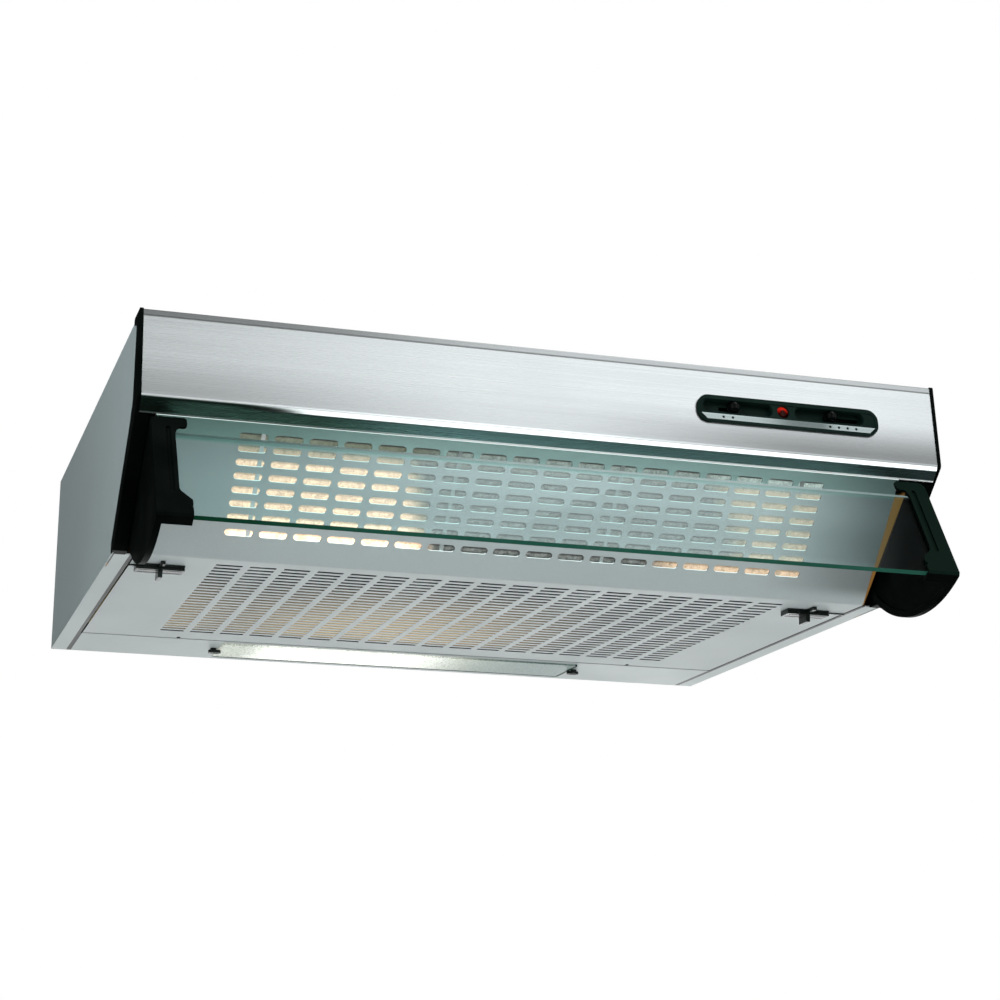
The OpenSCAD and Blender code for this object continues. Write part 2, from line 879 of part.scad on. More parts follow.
// Grille: a floor, a fold and a sloping front, one bent sheet
module grille_slots(rows, first, pitch, l, w, round_ends) {
    for (i = [0 : columns - 1], j = [0 : rows - 1])
        translate([(i - (columns - 1) / 2) * slot_pitch_x, first + j * pitch]) {
            if (round_ends) slot_2d(l, w);
            else square([l, w], center = true);
        }
}

module grille_floor() {
    difference() {
        translate([-grille_half, -fold_d + fold_leg])
            square([2 * grille_half, fold_d - grille_rear - fold_leg]);
        mirror([0, 1]) grille_slots(floor_rows, floor_first, floor_pitch, floor_slot_l, floor_slot_w, false);
        both_sides()
            translate([hinge_x + hinge_side_gap - notch_gap, -grille_rear - notch_d])
                square([hinge_ear_t + 2 * notch_gap, notch_d + overcut]);
        latch_track(latch_x - latch_shift);
        mirror([1, 0]) latch_track(latch_x + latch_shift);
    }
}

// The track that a latch's neck slides in
module latch_track(x) {
    translate([x - latch_neck_l / 2 - latch_travel - neck_gap, -latch_y - latch_neck_w / 2 - neck_gap])
        square([latch_neck_l + latch_travel + 2 * neck_gap, latch_neck_w + 2 * neck_gap]);
}

module grille() {
    fold_path = [
        [fold_leg - fold_d, 0],
        [-fold_d, 0],
        [-fold_d - fold_leg * cos(slope_angle), fold_leg * sin(slope_angle)]
    ];
    color("silver") {
        linear_extrude(sheet_t) grille_floor();
        along_x(-grille_half, grille_half)
            polygon(sheet_outline(fold_path, [0, fold_r, 0], -sheet_t));
        on_slope() translate([0, 0, -sheet_t]) linear_extrude(sheet_t) difference() {
            translate([-grille_half, fold_leg]) square([2 * grille_half, slope_l - fold_leg]);
            grille_slots(front_rows, front_first, front_pitch, front_slot_l, front_slot_w, true);
        }
        both_sides()
            along_x(hinge_x - hinge_ear_t, hinge_x) difference() {
                union() {
                    translate([-hinge_d, hinge_z]) circle(hinge_ear_r);
                    translate([-hinge_d - 5, sheet_t / 2]) square([5, hinge_z - sheet_t / 2]);
                    translate([-hinge_d - 5, sheet_t / 2]) square([6.5, 1.5]);
                }
                translate([-hinge_d, hinge_z]) circle(hinge_pin_r + run_gap);
            }
    }
}

// Straps under the mat; the places are shares of the mat's width
module mat_straps() {
    floor_end = 12;
    slope_end = 8;
    color("lightgray") {
        for (p = strap_places)
            translate([(p - 0.5) * mat_w, 0, sheet_t])
                box([-strap_w / 2, floor_end - fold_d, 0], [strap_w / 2, -mat_rear, strap_t]);
        for (p = front_strap_places)
            on_slope() translate([(p - 0.5) * mat_w - front_strap_w / 2, slope_end, -sheet_t - strap_t])
                cube([front_strap_w, slope_l - 2 * slope_end, strap_t]);
    }
}

module filter_mat() {
    mat_top = slope_l - 8;
    path = [
        [-mat_rear, 0],
        [-fold_d, 0],
        [-fold_d - mat_top * cos(slope_angle), mat_top * sin(slope_angle)]
    ];
    color("linen") along_x(-mat_w / 2, mat_w / 2) polygon(concat(
        rounded(moved(path, -mat_under), [0, 1, 0]),
        reversed(moved(path, -mat_under - mat_t))
    ));
}

// A latch whose middle is at x: a grooved bar with a tab and a fin under the grille, a neck and a plate over it
module latch(x) {
    x0 = x - latch_l / 2;
    x1 = x + latch_l / 2;
    front = -latch_y - latch_w / 2;
    rear = latch_w / 2 - latch_y;
    low = -slide_gap - latch_h;
    plate_z = sheet_t + slide_gap;
    color("black") {
        difference() {
            box([x0, front, low], [x1, rear, -slide_gap]);
            for (s = [-1, 1])
                box([x0 + 2, s * latch_groove - 0.8 - latch_y, low - overcut],
                    [x1 - 2, s * latch_groove + 0.8 - latch_y, low + 1]);
            box([x0 - overcut, front - overcut, low + 1.6], [x1 + overcut, front + 0.8, low + 2.4]);
        }
        box([x - tab_t / 2, front + 1, low - tab_h], [x + tab_t / 2, rear + 1, low + 0.5]);
        box([x - tab_t / 2, front - fin_l, -slide_gap - fin_h], [x + tab_t / 2, front + 1, -slide_gap]);
        box([x1 - 1, -latch_y - 0.8, -slide_gap - 1], [grille_half + 0.6, 0.8 - latch_y, -slide_gap]);
        box([x - latch_neck_l / 2, -latch_y - latch_neck_w / 2, -slide_gap - 0.5],
            [x + latch_neck_l / 2, latch_neck_w / 2 - latch_y, plate_z + 0.5]);
        box([x0 + 4, -latch_y - 5.5, plate_z], [rim_in - 0.3, 5.5 - latch_y, plate_z + latch_plate_t]);
    }
}

module latch_left() {
    mirror([1, 0, 0]) latch(latch_x + latch_shift);
}

module latch_right() {
    latch(latch_x - latch_shift);
}

module visor_glass() {
    color("lightcyan", 0.4) on_visor()
        box([0.4 - arm_in, glass_near, 0], [arm_in - 0.4, glass_far, glass_t]);
}

// The region of the quadrant, drawn as [away from the pivot, inwards]
module quadrant_wedge(near_z) {
    reach = arm_r * 1.5;
    polygon([
        [0, near_z],
        [reach, near_z],
        [reach, reach],
        reach * [cos(arm_sweep), sin(arm_sweep)],
        [0, max(near_z, 0)]
    ]);
}

module visor_arm() {
    face_in = arm_out - arm_face_w;
    foot_in = arm_out - arm_foot_w;
    face_end = arm_r - 0.3;
    color("black") on_visor() difference() {
        union() {
            along_x(arm_in, arm_out) {
                intersection() {
                    circle(arm_r, $fn = 128);
                    quadrant_wedge(0);
                }
                circle(arm_hub_r);
            }
            along_x(arm_in - arm_rim_t, arm_in + arm_t / 2) intersection() {
                difference() {
                    circle(arm_r, $fn = 128);
                    circle(arm_r - arm_rim_w, $fn = 128);
                }
                quadrant_wedge(foot_depth);
            }
            translate([0, 0, -arm_face_t]) linear_extrude(arm_face_t) polygon(rounded_loop(
                [
                    [foot_in, hook_near],
                    [arm_out, hook_near],
                    [arm_out, face_end],
                    [foot_in, face_end],
                    [foot_in, foot_near],
                    [face_in, foot_near - 9],
                    [face_in, hook_far + 6],
                    [face_in - 2, hook_far],
                    [foot_in, hook_far]
                ],
                [2.5, 6, 0, 0, 3, 6, 5, 3, 3]
            ));
            box([foot_in, glass_far + 0.2, -arm_face_t / 2], [arm_out, face_end, foot_depth]);
            box([face_in - clamp_lap, glass_near + 6, glass_t], [arm_in + 0.5, glass_far + 1, glass_t + clamp_t]);
        }
        bar_x(arm_in - 2 * overcut, arm_out + overcut, 0, 0, pin_r + 0.03);
        translate([face_in + groove_inset + groove_w / 2, (hook_far + foot_near - 7) / 2, -arm_face_t - overcut])
            linear_extrude(arm_face_t - 0.5 + overcut) rotate([0, 0, 90])
                slot_2d(foot_near - 7 - hook_far, groove_w);
        translate([foot_in, foot_near + 6, -arm_face_t - overcut])
            cylinder(h = arm_face_t + overcut - 0.4, r = notch_r);
        translate([0, face_end, -arm_face_t]) rotate([45, 0, 0])
            translate([foot_in - overcut, -2 * bevel, -bevel])
                cube([arm_foot_w + 2 * overcut, 4 * bevel, bevel + bevel * sin(45)]);
    }
}

module visor_arm_left() {
    mirror([1, 0, 0]) visor_arm();
}

module visor_arm_right() {
    visor_arm();
}

// Headed pins that ride in the arms and turn in the cheeks
module visor_pins() {
    color("gray") both_sides() {
        bar_x(arm_in - pin_head_t, arm_in, -pivot_d, pivot_z, pin_head_r);
        bar_x(arm_in - 0.5, cheek_in + pin_reach - 0.3, -pivot_d, pivot_z, pin_r);
    }
}

// Controls
module window(span) {
    translate([(span[0] + span[1]) / 2, window_y]) rounded_rect(span[1] - span[0], window_h, window_r);
}

module control_bezel() {
    color("black") on_face(bezel_x, bezel_drop) difference() {
        union() {
            linear_extrude(rim_t) rounded_rect(bezel_l, bezel_w, 9);
            translate([0, 0, -tub_depth]) linear_extrude(tub_depth + 0.5)
                rounded_rect(bezel_l - 4, bezel_w - 4, 6.5);
        }
        translate([0, field_y, field_t]) linear_extrude(rim_t) rounded_rect(bezel_l - 5, field_w, 5);
        translate([0, 0, -recess_d]) linear_extrude(recess_d + rim_t) {
            window(window_light);
            window(window_fan);
        }
        translate([lens_x, window_y, -recess_d]) cylinder(h = recess_d + rim_t, r = lens_r + hole_gap);
        translate([light_x - light_travel - stem_l, window_y - stem_w / 2 - 0.3, -tub_depth - overcut])
            cube([light_travel + 2 * stem_l, stem_w + 0.6, tub_depth]);
        translate([fan_x - stem_l, window_y - stem_w / 2 - 0.3, -tub_depth - overcut])
            cube([fan_travel + 2 * stem_l, stem_w + 0.6, tub_depth]);
    }
}

mark_pitch = light_travel;
mark_r = 1;
mark_back = 2;
fan_mark_pitch = fan_travel / 3;

// The bright strip under the sliders, pierced with plain marks
module marking_strip() {
    half = bezel_l / 2 - strip_end;
    color("gainsboro") on_face(bezel_x, bezel_drop)
        translate([0, strip_y, field_t]) linear_extrude(strip_t) difference() {
            polygon([
                [-half, strip_h / 2],
                [half, strip_h / 2],
                [half - strip_slant, -strip_h / 2],
                [strip_slant - half, -strip_h / 2]
            ]);
            for (k = [0, 1])
                translate([light_x - mark_back - k * mark_pitch, 0]) circle(mark_r, $fn = 24);
            for (k = [0 : 3])
                translate([fan_x - mark_back + k * fan_mark_pitch, 0]) circle(mark_r, $fn = 24);
        }
}

module slider(x) {
    color("black") on_face(bezel_x, bezel_drop) translate([x, window_y, 0]) {
        translate([0, 0, slide_gap - recess_d]) linear_extrude(recess_d - 1.2)
            rounded_rect(knob_l, window_h - 0.6, 4.3);
        translate([0, 0, -1.4]) cylinder(h = 2.6, r = knob_r);
        translate([0, 0, 1.2]) sphere(knob_r);
        translate([-stem_l / 2, -stem_w / 2, -tub_depth - stem_reach])
            cube([stem_l, stem_w, tub_depth + stem_reach - recess_d + 0.5]);
    }
}

module light_slider() {
    slider(light_x);
}

module fan_slider() {
    slider(fan_x);
}

module indicator_lens() {
    color("red") on_face(bezel_x, bezel_drop) translate([lens_x, window_y, -recess_d]) {
        cylinder(h = recess_d - 0.6, r = lens_r);
        translate([0, 0, recess_d - 6.2]) intersection() {
            sphere(7.2, $fn = 64);
            translate([0, 0, 5]) cylinder(h = 4, r = lens_r);
        }
    }
}

module switch_box(middle, travel) {
    color("dimgray") on_face(bezel_x, bezel_drop) translate([middle, window_y, -tub_depth]) difference() {
        translate([-switch_l / 2, -switch_h / 2, -switch_d]) cube([switch_l, switch_h, switch_d]);
        translate([-travel / 2 - stem_l, -stem_w / 2 - 0.3, -stem_reach - 1])
            cube([travel + 2 * stem_l, stem_w + 0.6, stem_reach + 2]);
    }
}

module light_switch() {
    switch_box(light_x - light_travel / 2, light_travel);
}

module fan_switch() {
    switch_box(fan_x + fan_travel / 2, fan_travel);
}

// Fan
module fan_housing() {
    inner_r = drum_r - drum_t;
    end_in = drum_l / 2 - drum_t;
    color("gray") difference() {
        union() {
            bar_x(-drum_l / 2, drum_l / 2, -fan_y, fan_z, drum_r, $fn = 96);
            box([-neck_half_x - drum_t, -duct_y - neck_half_y - drum_t, fan_z],
                [neck_half_x + drum_t, neck_half_y + drum_t - duct_y, hood_h - sheet_t]);
        }
        bar_x(-end_in, end_in, -fan_y, fan_z, inner_r, $fn = 96);
        box([-neck_half_x, -duct_y - neck_half_y, fan_z + 2],
            [neck_half_x, neck_half_y - duct_y, hood_h]);
        bar_x(-drum_l / 2 - overcut, drum_l / 2 + overcut, -fan_y, fan_z, inlet_r, $fn = 96);
    }
}

module motor() {
    color("darkslategray") difference() {
        union() {
            bar_x(-motor_l / 2, motor_l / 2, -fan_y, fan_z, motor_r);
            bar_x(-motor_l / 2 - 3, motor_l / 2 + 3, -fan_y, fan_z, motor_r * 0.6);
        }
        bar_x(-motor_l, motor_l, -fan_y, fan_z, shaft_r + run_gap);
    }
}

// A band round the motor with an arm to the drum on each side
module motor_bracket() {
    band_l = 16;
    color("silver") difference() {
        union() {
            bar_x(-band_l / 2, band_l / 2, -fan_y, fan_z, motor_r + 3);
            intersection() {
                bar_x(-band_l / 2, band_l / 2, -fan_y, fan_z, drum_r - drum_t - hole_gap, $fn = 96);
                for (a = [200, 340])
                    translate([-band_l / 2, -fan_y, fan_z]) rotate([a, 0, 0])
                        translate([0, 0, -4]) cube([band_l, drum_r, 8]);
            }
        }
        bar_x(-band_l, band_l, -fan_y, fan_z, motor_r + 0.05);
    }
}

module fan_shaft() {
    color("lightgray") bar_x(-wheel_out, wheel_out, -fan_y, fan_z, shaft_r);
}

module impeller() {
    hub_r = 10;
    blade_d = 7;
    color("slategray") translate([0, -fan_y, fan_z]) rotate([0, 90, 0]) difference() {
        union() {
            translate([0, 0, wheel_in]) cylinder(h = 2, r = wheel_r);
            translate([0, 0, wheel_in]) cylinder(h = 14, r = hub_r);
            translate([0, 0, wheel_out - 2]) difference() {
                cylinder(h = 2, r = wheel_r);
                translate([0, 0, -overcut]) cylinder(h = 4, r = wheel_r - blade_d);
            }
            for (k = [0 : blades - 1])
                rotate([0, 0, k * 360 / blades])
                    translate([wheel_r - blade_d, 0, wheel_in + 1]) rotate([0, 0, 25])
                        cube([blade_d - 1, 1.2, wheel_out - wheel_in - 2]);
        }
        cylinder(h = wheel_out + overcut, r = shaft_r + 0.02);
    }
}

module impeller_left() {
    mirror([1, 0, 0]) impeller();
}

module impeller_right() {
    impeller();
}

// Collar for the duct, with a square flange on the top panel
module duct_collar() {
    color("dimgray") translate([0, -duct_y, hood_h]) difference() {
        union() {
            linear_extrude(collar_flange_t) rounded_rect(collar_flange, collar_flange, 8);
            cylinder(h = collar_flange_t + duct_h, r = duct_r, $fn = 96);
        }
        translate([0, 0, -overcut]) collar_bore();
        translate([0, 0, flap_up]) rotate([0, 90, 0])
            translate([0, 0, -duct_r + duct_t + 1])
                cylinder(h = 2 * (duct_r - duct_t - 1), r = flap_pin_r + 0.02, $fn = 32);
        translate([0, 0, -hood_h]) translate([0, duct_y, 0]) collar_hole_places() screw_hole();
    }
}

// The collar's bore, less the two bosses that hold the flap pin
module collar_bore() {
    difference() {
        cylinder(h = duct_h + 10, r = duct_r - duct_t, $fn = 96);
        for (s = [-1, 1])
            translate([0, 0, flap_up + overcut]) rotate([0, s * 90, 0])
                translate([0, 0, duct_r - duct_t - pin_boss_l]) cylinder(h = 2 * pin_boss_l, r = pin_boss_r);
    }
}

module flap_pin() {
    color("gray") translate([0, -duct_y, flap_z]) rotate([0, 90, 0])
        translate([0, 0, 1.5 - duct_r + duct_t])
            cylinder(h = 2 * (duct_r - duct_t - 1.5), r = flap_pin_r, $fn = 32);
}

flap_t = 1.5;
flap_start = 4.2;
knuckle_r = 3.3;
flap_half_x = duct_r - duct_t - 8;
knuckles = 4;

// One half of the non-return flap; its knuckles take every second place along the pin
module flap(first) {
    pitch = 2 * flap_half_x / knuckles;
    color("gray") translate([0, -duct_y, flap_z]) {
        translate([0, 0, -flap_t / 2]) linear_extrude(flap_t) intersection() {
            circle(duct_r - duct_t - 1.2, $fn = 96);
            union() {
                translate([-flap_half_x, -duct_r]) square([2 * flap_half_x, duct_r - flap_start]);
                translate([-duct_r, -duct_r]) square([2 * duct_r, duct_r - pin_boss_r - 1]);
            }
        }
        for (k = [first : 2 : knuckles - 1])
            translate([k * pitch - flap_half_x, 0, 0]) {
                difference() {
                    union() {
                        rotate([0, 90, 0]) translate([0, 0, 0.4])
                            cylinder(h = pitch - 0.8, r = knuckle_r, $fn = 32);
                        translate([0.4, -flap_start - 0.5, -flap_t / 2])
                            cube([pitch - 0.8, flap_start + 0.5, flap_t]);
                    }
                    rotate([0, 90, 0]) translate([0, 0, -overcut])
                        cylinder(h = pitch + 2 * overcut, r = flap_pin_r + run_gap, $fn = 32);
                }
            }
    }
}

module flap_front() {
    flap(0);
}

module flap_rear() {
    translate([0, -2 * duct_y, 0]) mirror([0, 1, 0]) flap(1);
}

// Electrical parts under the top panel
box_l = 64;
box_w = 44;
box_h = 30;
gland_thread_r = 7.5;
gland_cap_r = 10;

module terminal_box() {
    top = hood_h - sheet_t;
    color("white") difference() {
        box([gland_x - box_l / 2, -gland_d - box_w / 2, top - box_h],
            [gland_x + box_l / 2, box_w / 2 - gland_d, top]);
        box([gland_x - box_l / 2 + 2, 2 - gland_d - box_w / 2, top - box_h - overcut],
            [gland_x + box_l / 2 - 2, box_w / 2 - 2 - gland_d, top - 2]);
        translate([gland_x, -gland_d, top - 2 - overcut])
            cylinder(h = 2 + 2 * overcut, r = gland_thread_r + hole_gap);
    }
}

module cable_gland() {
    color("black") translate([gland_x, -gland_d, hood_h]) difference() {
        union() {
            cylinder(h = 3, r = gland_cap_r + 1.5, $fn = 6);
            cylinder(h = 12, r = gland_cap_r - 0.5);
            translate([0, 0, -7]) cylinder(h = 8, r = gland_thread_r);
        }
        translate([0, 0, -8]) cylinder(h = 22, r = cable_r);
    }
}

module capacitor() {
    cap_r = 14;
    top = hood_h - sheet_t;
    color("silver") translate([capacitor_x, -60, top - cap_r]) {
        rotate([90, 0, 0]) translate([0, 0, -25]) cylinder(h = 50, r = cap_r);
        translate([-cap_r, -8, 0]) cube([2 * cap_r, 16, cap_r]);
    }
}

side_panel_left();
side_panel_right();
back_panel();
top_panel();
front_panel();
front_rail();
cheek_left();
cheek_right();
rear_tray();
reflector();
lamp_cover();
cover_clip_left();
cover_clip_right();
lamp_socket();
bulb();
grille();
mat_straps();
filter_mat();
hinge_pins();
latch_left();
latch_right();
visor_glass();
visor_arm_left();
visor_arm_right();
visor_pins();
control_bezel();
marking_strip();
light_slider();
fan_slider();
indicator_lens();
light_switch();
fan_switch();
fan_housing();
motor();
motor_bracket();
fan_shaft();
impeller_left();
impeller_right();
duct_collar();
flap_front();
flap_rear();
flap_pin();
terminal_box();
cable_gland();
capacitor();
top_screws();
collar_screws();
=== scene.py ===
import math
import random

import bmesh
import bpy
from mathutils import Matrix, Vector


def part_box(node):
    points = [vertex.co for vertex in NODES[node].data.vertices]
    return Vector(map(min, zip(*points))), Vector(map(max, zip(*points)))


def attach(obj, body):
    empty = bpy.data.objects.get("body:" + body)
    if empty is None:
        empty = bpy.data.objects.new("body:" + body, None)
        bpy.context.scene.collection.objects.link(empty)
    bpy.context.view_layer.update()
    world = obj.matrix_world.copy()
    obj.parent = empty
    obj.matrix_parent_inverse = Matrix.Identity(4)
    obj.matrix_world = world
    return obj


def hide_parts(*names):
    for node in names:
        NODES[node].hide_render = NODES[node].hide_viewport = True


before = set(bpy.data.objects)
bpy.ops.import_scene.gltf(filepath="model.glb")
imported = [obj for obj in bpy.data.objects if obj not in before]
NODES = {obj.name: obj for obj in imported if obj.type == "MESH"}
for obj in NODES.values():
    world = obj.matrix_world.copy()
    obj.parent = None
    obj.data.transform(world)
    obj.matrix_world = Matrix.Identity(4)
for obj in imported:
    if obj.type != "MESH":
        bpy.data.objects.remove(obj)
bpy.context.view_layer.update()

# places that the materials and the felt follow, in metres and radians, as in the part's source
BEND_Z, SCORE_Z, HEM_Z = 0.0866, 0.1462, 0.0772  # the front panel's soft bend, score line and hem
RIM_X, WALL_X = 0.2836, 0.2967  # the rims' inner edge and the side panels' inner face
FOLD_Y, SLOPE = -0.4034, math.radians(50.8)  # the grille's fold, and how steep its front is
ROW_FIRST, ROW_PITCH = 0.0223, 0.0107  # the front's rows of slots, measured up the slope from the fold
VISOR_OPEN = math.radians(57.5)
# heights between which a look changes on the grille: where its front begins, past the lowest row of
# slots, and under the front panel's lip, for the felt and for the paint
FRONT_BEGINS, LOWEST_ROW = (0.004, 0.006), (0.022, 0.030)
LIP_ON_FELT, LIP_ON_PAINT = (0.067, 0.071), (0.068, 0.0705)
# heights of a normal between which a slot's wall starts to count as one that faces up
FACING_UP = (0.45, 0.60)
# colours of the lamp's light in the floor's slots and on the side panels' inner faces
GLOW, TAN = (1.0, 0.74, 0.36), (1.0, 0.50, 0.12)

# ---------------------------------------------------------------- camera, as solved on the photograph
AZ, EL, ROLL = math.radians(-16.855), math.radians(-14.037), math.radians(0.453)
EYE = (-0.487776, -1.968825, -0.348402)
FOCAL, PICTURE, SENSOR = 2261.077, 1000.0, 36.0  # pixels, pixels and millimetres
back = Vector((math.sin(AZ) * math.cos(EL), -math.cos(AZ) * math.cos(EL), math.sin(EL)))
right = (-back).cross(Vector((0, 0, 1))).normalized()
up = right.cross(-back)
rolled_right = right * math.cos(ROLL) + up * math.sin(ROLL)
rolled_up = up * math.cos(ROLL) - right * math.sin(ROLL)
cam_data = bpy.data.cameras.new("camera")
cam_data.sensor_width = SENSOR
cam_data.lens = FOCAL * SENSOR / PICTURE
cam = bpy.data.objects.new("camera", cam_data)
bpy.context.collection.objects.link(cam)
cam.matrix_world = Matrix.Translation(EYE) @ Matrix((rolled_right, rolled_up, back)).transposed().to_4x4()
bpy.context.scene.camera = cam
bpy.context.scene.view_settings.view_transform = "Standard"


# ---------------------------------------------------------------- node helpers
class Graph:
    """A short way to write the nodes of a material, or of the world."""

    def __init__(self, name, owner=None):
        self.m = owner or bpy.data.materials.new(name)
        self.m.use_nodes = True
        self.t = self.m.node_tree
        self.t.nodes.clear()
        self.out = self.t.nodes.new("ShaderNodeOutputWorld" if owner else "ShaderNodeOutputMaterial")
        places = self.t.nodes.new("ShaderNodeTexCoord").outputs
        self.coord, self.normal, self.direction = places["Object"], places["Normal"], places["Generated"]

    def put(self, socket, value):
        """Link a socket to an input, or set the input's own value, or leave it alone for None."""
        if isinstance(value, bpy.types.NodeSocket):
            self.t.links.new(value, socket)
        elif value is not None:
            if hasattr(socket.default_value, "__len__") and not hasattr(value, "__len__"):
                value = (value,) * len(socket.default_value)
            elif hasattr(value, "__len__") and len(value) == 3 and len(socket.default_value) == 4:
                value = (*value, 1.0)
            socket.default_value = value

    def node(self, kind, inputs=None, out=0, **props):
        """Add a node, fill its inputs and give back one of its outputs."""
        n = self.t.nodes.new("ShaderNode" + kind)
        for k, v in props.items():
            setattr(n, k, v)
        for k, v in (inputs or {}).items():
            self.put(n.inputs[k], v)
        return n.outputs[out]

    def math(self, op, a, b=None, c=None):
        n = self.t.nodes.new("ShaderNodeMath")
        n.operation = op
        for i, v in enumerate((a, b, c)):
            self.put(n.inputs[i], v)
        return n.outputs[0]

    def times(self, value, *others):
        for other in others:
            value = self.math("MULTIPLY", value, other)
        return value

    def rest(self, value):
        """What is left of 1."""
        return self.math("SUBTRACT", 1.0, value)

    def xyz(self, vector=None):
        n = self.t.nodes.new("ShaderNodeSeparateXYZ")
        self.put(n.inputs[0], vector or self.coord)
        return n.outputs[0], n.outputs[1], n.outputs[2]

    def stretched(self, scale):
        return self.node("Mapping", {"Vector": self.coord, "Scale": scale})

    def noise(self, scale, detail=3.0, rough=0.5, vector=None, distortion=0.0):
        return self.node("TexNoise", {"Vector": vector or self.coord, "Scale": scale, "Detail": detail,
                                      "Roughness": rough, "Distortion": distortion})

    def voronoi(self, scale, out=0):
        return self.node("TexVoronoi", {"Vector": self.coord, "Scale": scale}, out)

    def span(self, value, a, b, lo=0.0, hi=1.0, smooth=True):
        """From lo where the value is a to hi where it is b, and level outside."""
        ends = {"From Min": a, "From Max": b, "To Min": lo, "To Max": hi}
        return self.node("MapRange", {"Value": value, **ends},
                         interpolation_type="SMOOTHSTEP" if smooth else "LINEAR")

    def mix(self, fac, a, b, mode="MIX"):
        n = self.t.nodes.new("ShaderNodeMix")
        n.data_type = "RGBA"
        n.blend_type = mode
        self.put(n.inputs["Factor"], fac)
        self.put(n.inputs[6], a)
        self.put(n.inputs[7], b)
        return n.outputs[2]

    def toned(self, colour, tone):
        """The colour multiplied by the tone."""
        return self.mix(1.0, colour, tone, "MULTIPLY")

    def bump(self, height, strength, distance, normal=None):
        return self.node("Bump", {"Height": height, "Strength": strength, "Distance": distance,
                                  "Normal": normal})

    def edge(self, radius):
        return self.node("Bevel", {"Radius": radius}, samples=4)

    def principled(self, **inputs):
        return self.node("BsdfPrincipled", {k.replace("_", " "): v for k, v in inputs.items()})

    def show(self, shader):
        self.t.links.new(shader, self.out.inputs["Surface"])
        return self.m

    def surface(self, **inputs):
        return self.show(self.principled(**inputs))

    def either(self, fac, a, b):
        """Shader a where the factor is 0, shader b where it is 1."""
        n = self.t.nodes.new("ShaderNodeMixShader")
        for socket, value in zip(n.inputs, (fac, a, b)):
            self.put(socket, value)
        return n.outputs[0]


# ---------------------------------------------------------------- materials
def painted(name, colour, rough=0.42, speck=0.045, shade=None, glow=None, lit=GLOW):
    """Powder-coated steel: fine orange peel, a faint speckle and small differences in gloss."""
    g = Graph(name)
    fine = g.noise(1800, 2)
    cloud = g.noise(9, 4)
    c = g.mix(g.span(fine, 0.3, 0.7), [v * (1 - speck) for v in colour], [v * (1 + speck) for v in colour])
    c = g.mix(g.span(cloud, 0.3, 0.7, 0.0, 0.10), c, [v * 0.86 for v in colour])
    if shade:
        c = shade(g, c)
    n = g.bump(g.noise(700, 3), 0.16, 0.0006, g.edge(0.0004))
    return g.surface(Base_Color=c, Roughness=g.span(cloud, 0.2, 0.8, rough - 0.04, rough + 0.05), Normal=n,
                     Specular_IOR_Level=0.45, Emission_Color=lit(g) if callable(lit) else lit,
                     Emission_Strength=glow(g) if glow else 0.0)


def in_wall(g):
    """The front end of the side panels' inner faces, which shows in the gap beside the grille."""
    x, y, _ = g.xyz()
    off = g.math("ABSOLUTE", g.math("SUBTRACT", g.math("ABSOLUTE", x), WALL_X))
    return g.times(g.math("LESS_THAN", off, 0.0006), g.span(y, -0.35, -0.36))


def wall_glow(g):
    """A narrow strip of that wall, between two slanted lines, catches the lamp's light."""
    _, y, z = g.xyz()
    ahead = g.math("GREATER_THAN", g.math("MULTIPLY_ADD", z, 1.0657, y), -0.3655)
    behind = g.math("LESS_THAN", g.math("MULTIPLY_ADD", z, 0.8157, y), -0.358)
    return g.times(in_wall(g), ahead, behind, g.span(z, 0.078, 0.082, 0.20, 0.0))


def rim_shade(g, c):
    """The rims' inner edges and walls, which border the gap beside the grille, stay in the dark."""
    x, _, z = g.xyz()
    off = g.math("ABSOLUTE", x)
    wall = g.times(g.math("LESS_THAN", off, RIM_X), g.span(z, 0.0001, 0.0008, 0.0, 0.95))
    brink = g.math("LESS_THAN", g.math("ABSOLUTE", g.math("SUBTRACT", off, RIM_X - 0.0003)), 0.0020)
    dark = g.math("MAXIMUM", g.math("MAXIMUM", wall, g.times(brink, 0.93)), in_wall(g))
    return g.mix(dark, c, (0, 0, 0))


def wall_depth(g):
    """How deep a point lies in the cut of a slot, whether it is on a cut's wall, and how far it faces up."""
    _, y, z = g.xyz()
    _, ny, nz = g.xyz(g.normal)
    back_y, back_z = math.sin(SLOPE), math.cos(SLOPE)
    across = g.math("ADD", g.times(ny, back_y), g.times(nz, back_z))
    flat = g.math("MAXIMUM", g.math("ABSOLUTE", nz), g.math("ABSOLUTE", across))
    wall = g.math("LESS_THAN", flat, 0.85)
    sloped = g.math("ADD", g.times(g.math("SUBTRACT", y, FOLD_Y), back_y), g.times(z, back_z))
    return g.math("MINIMUM", z, sloped), wall, nz


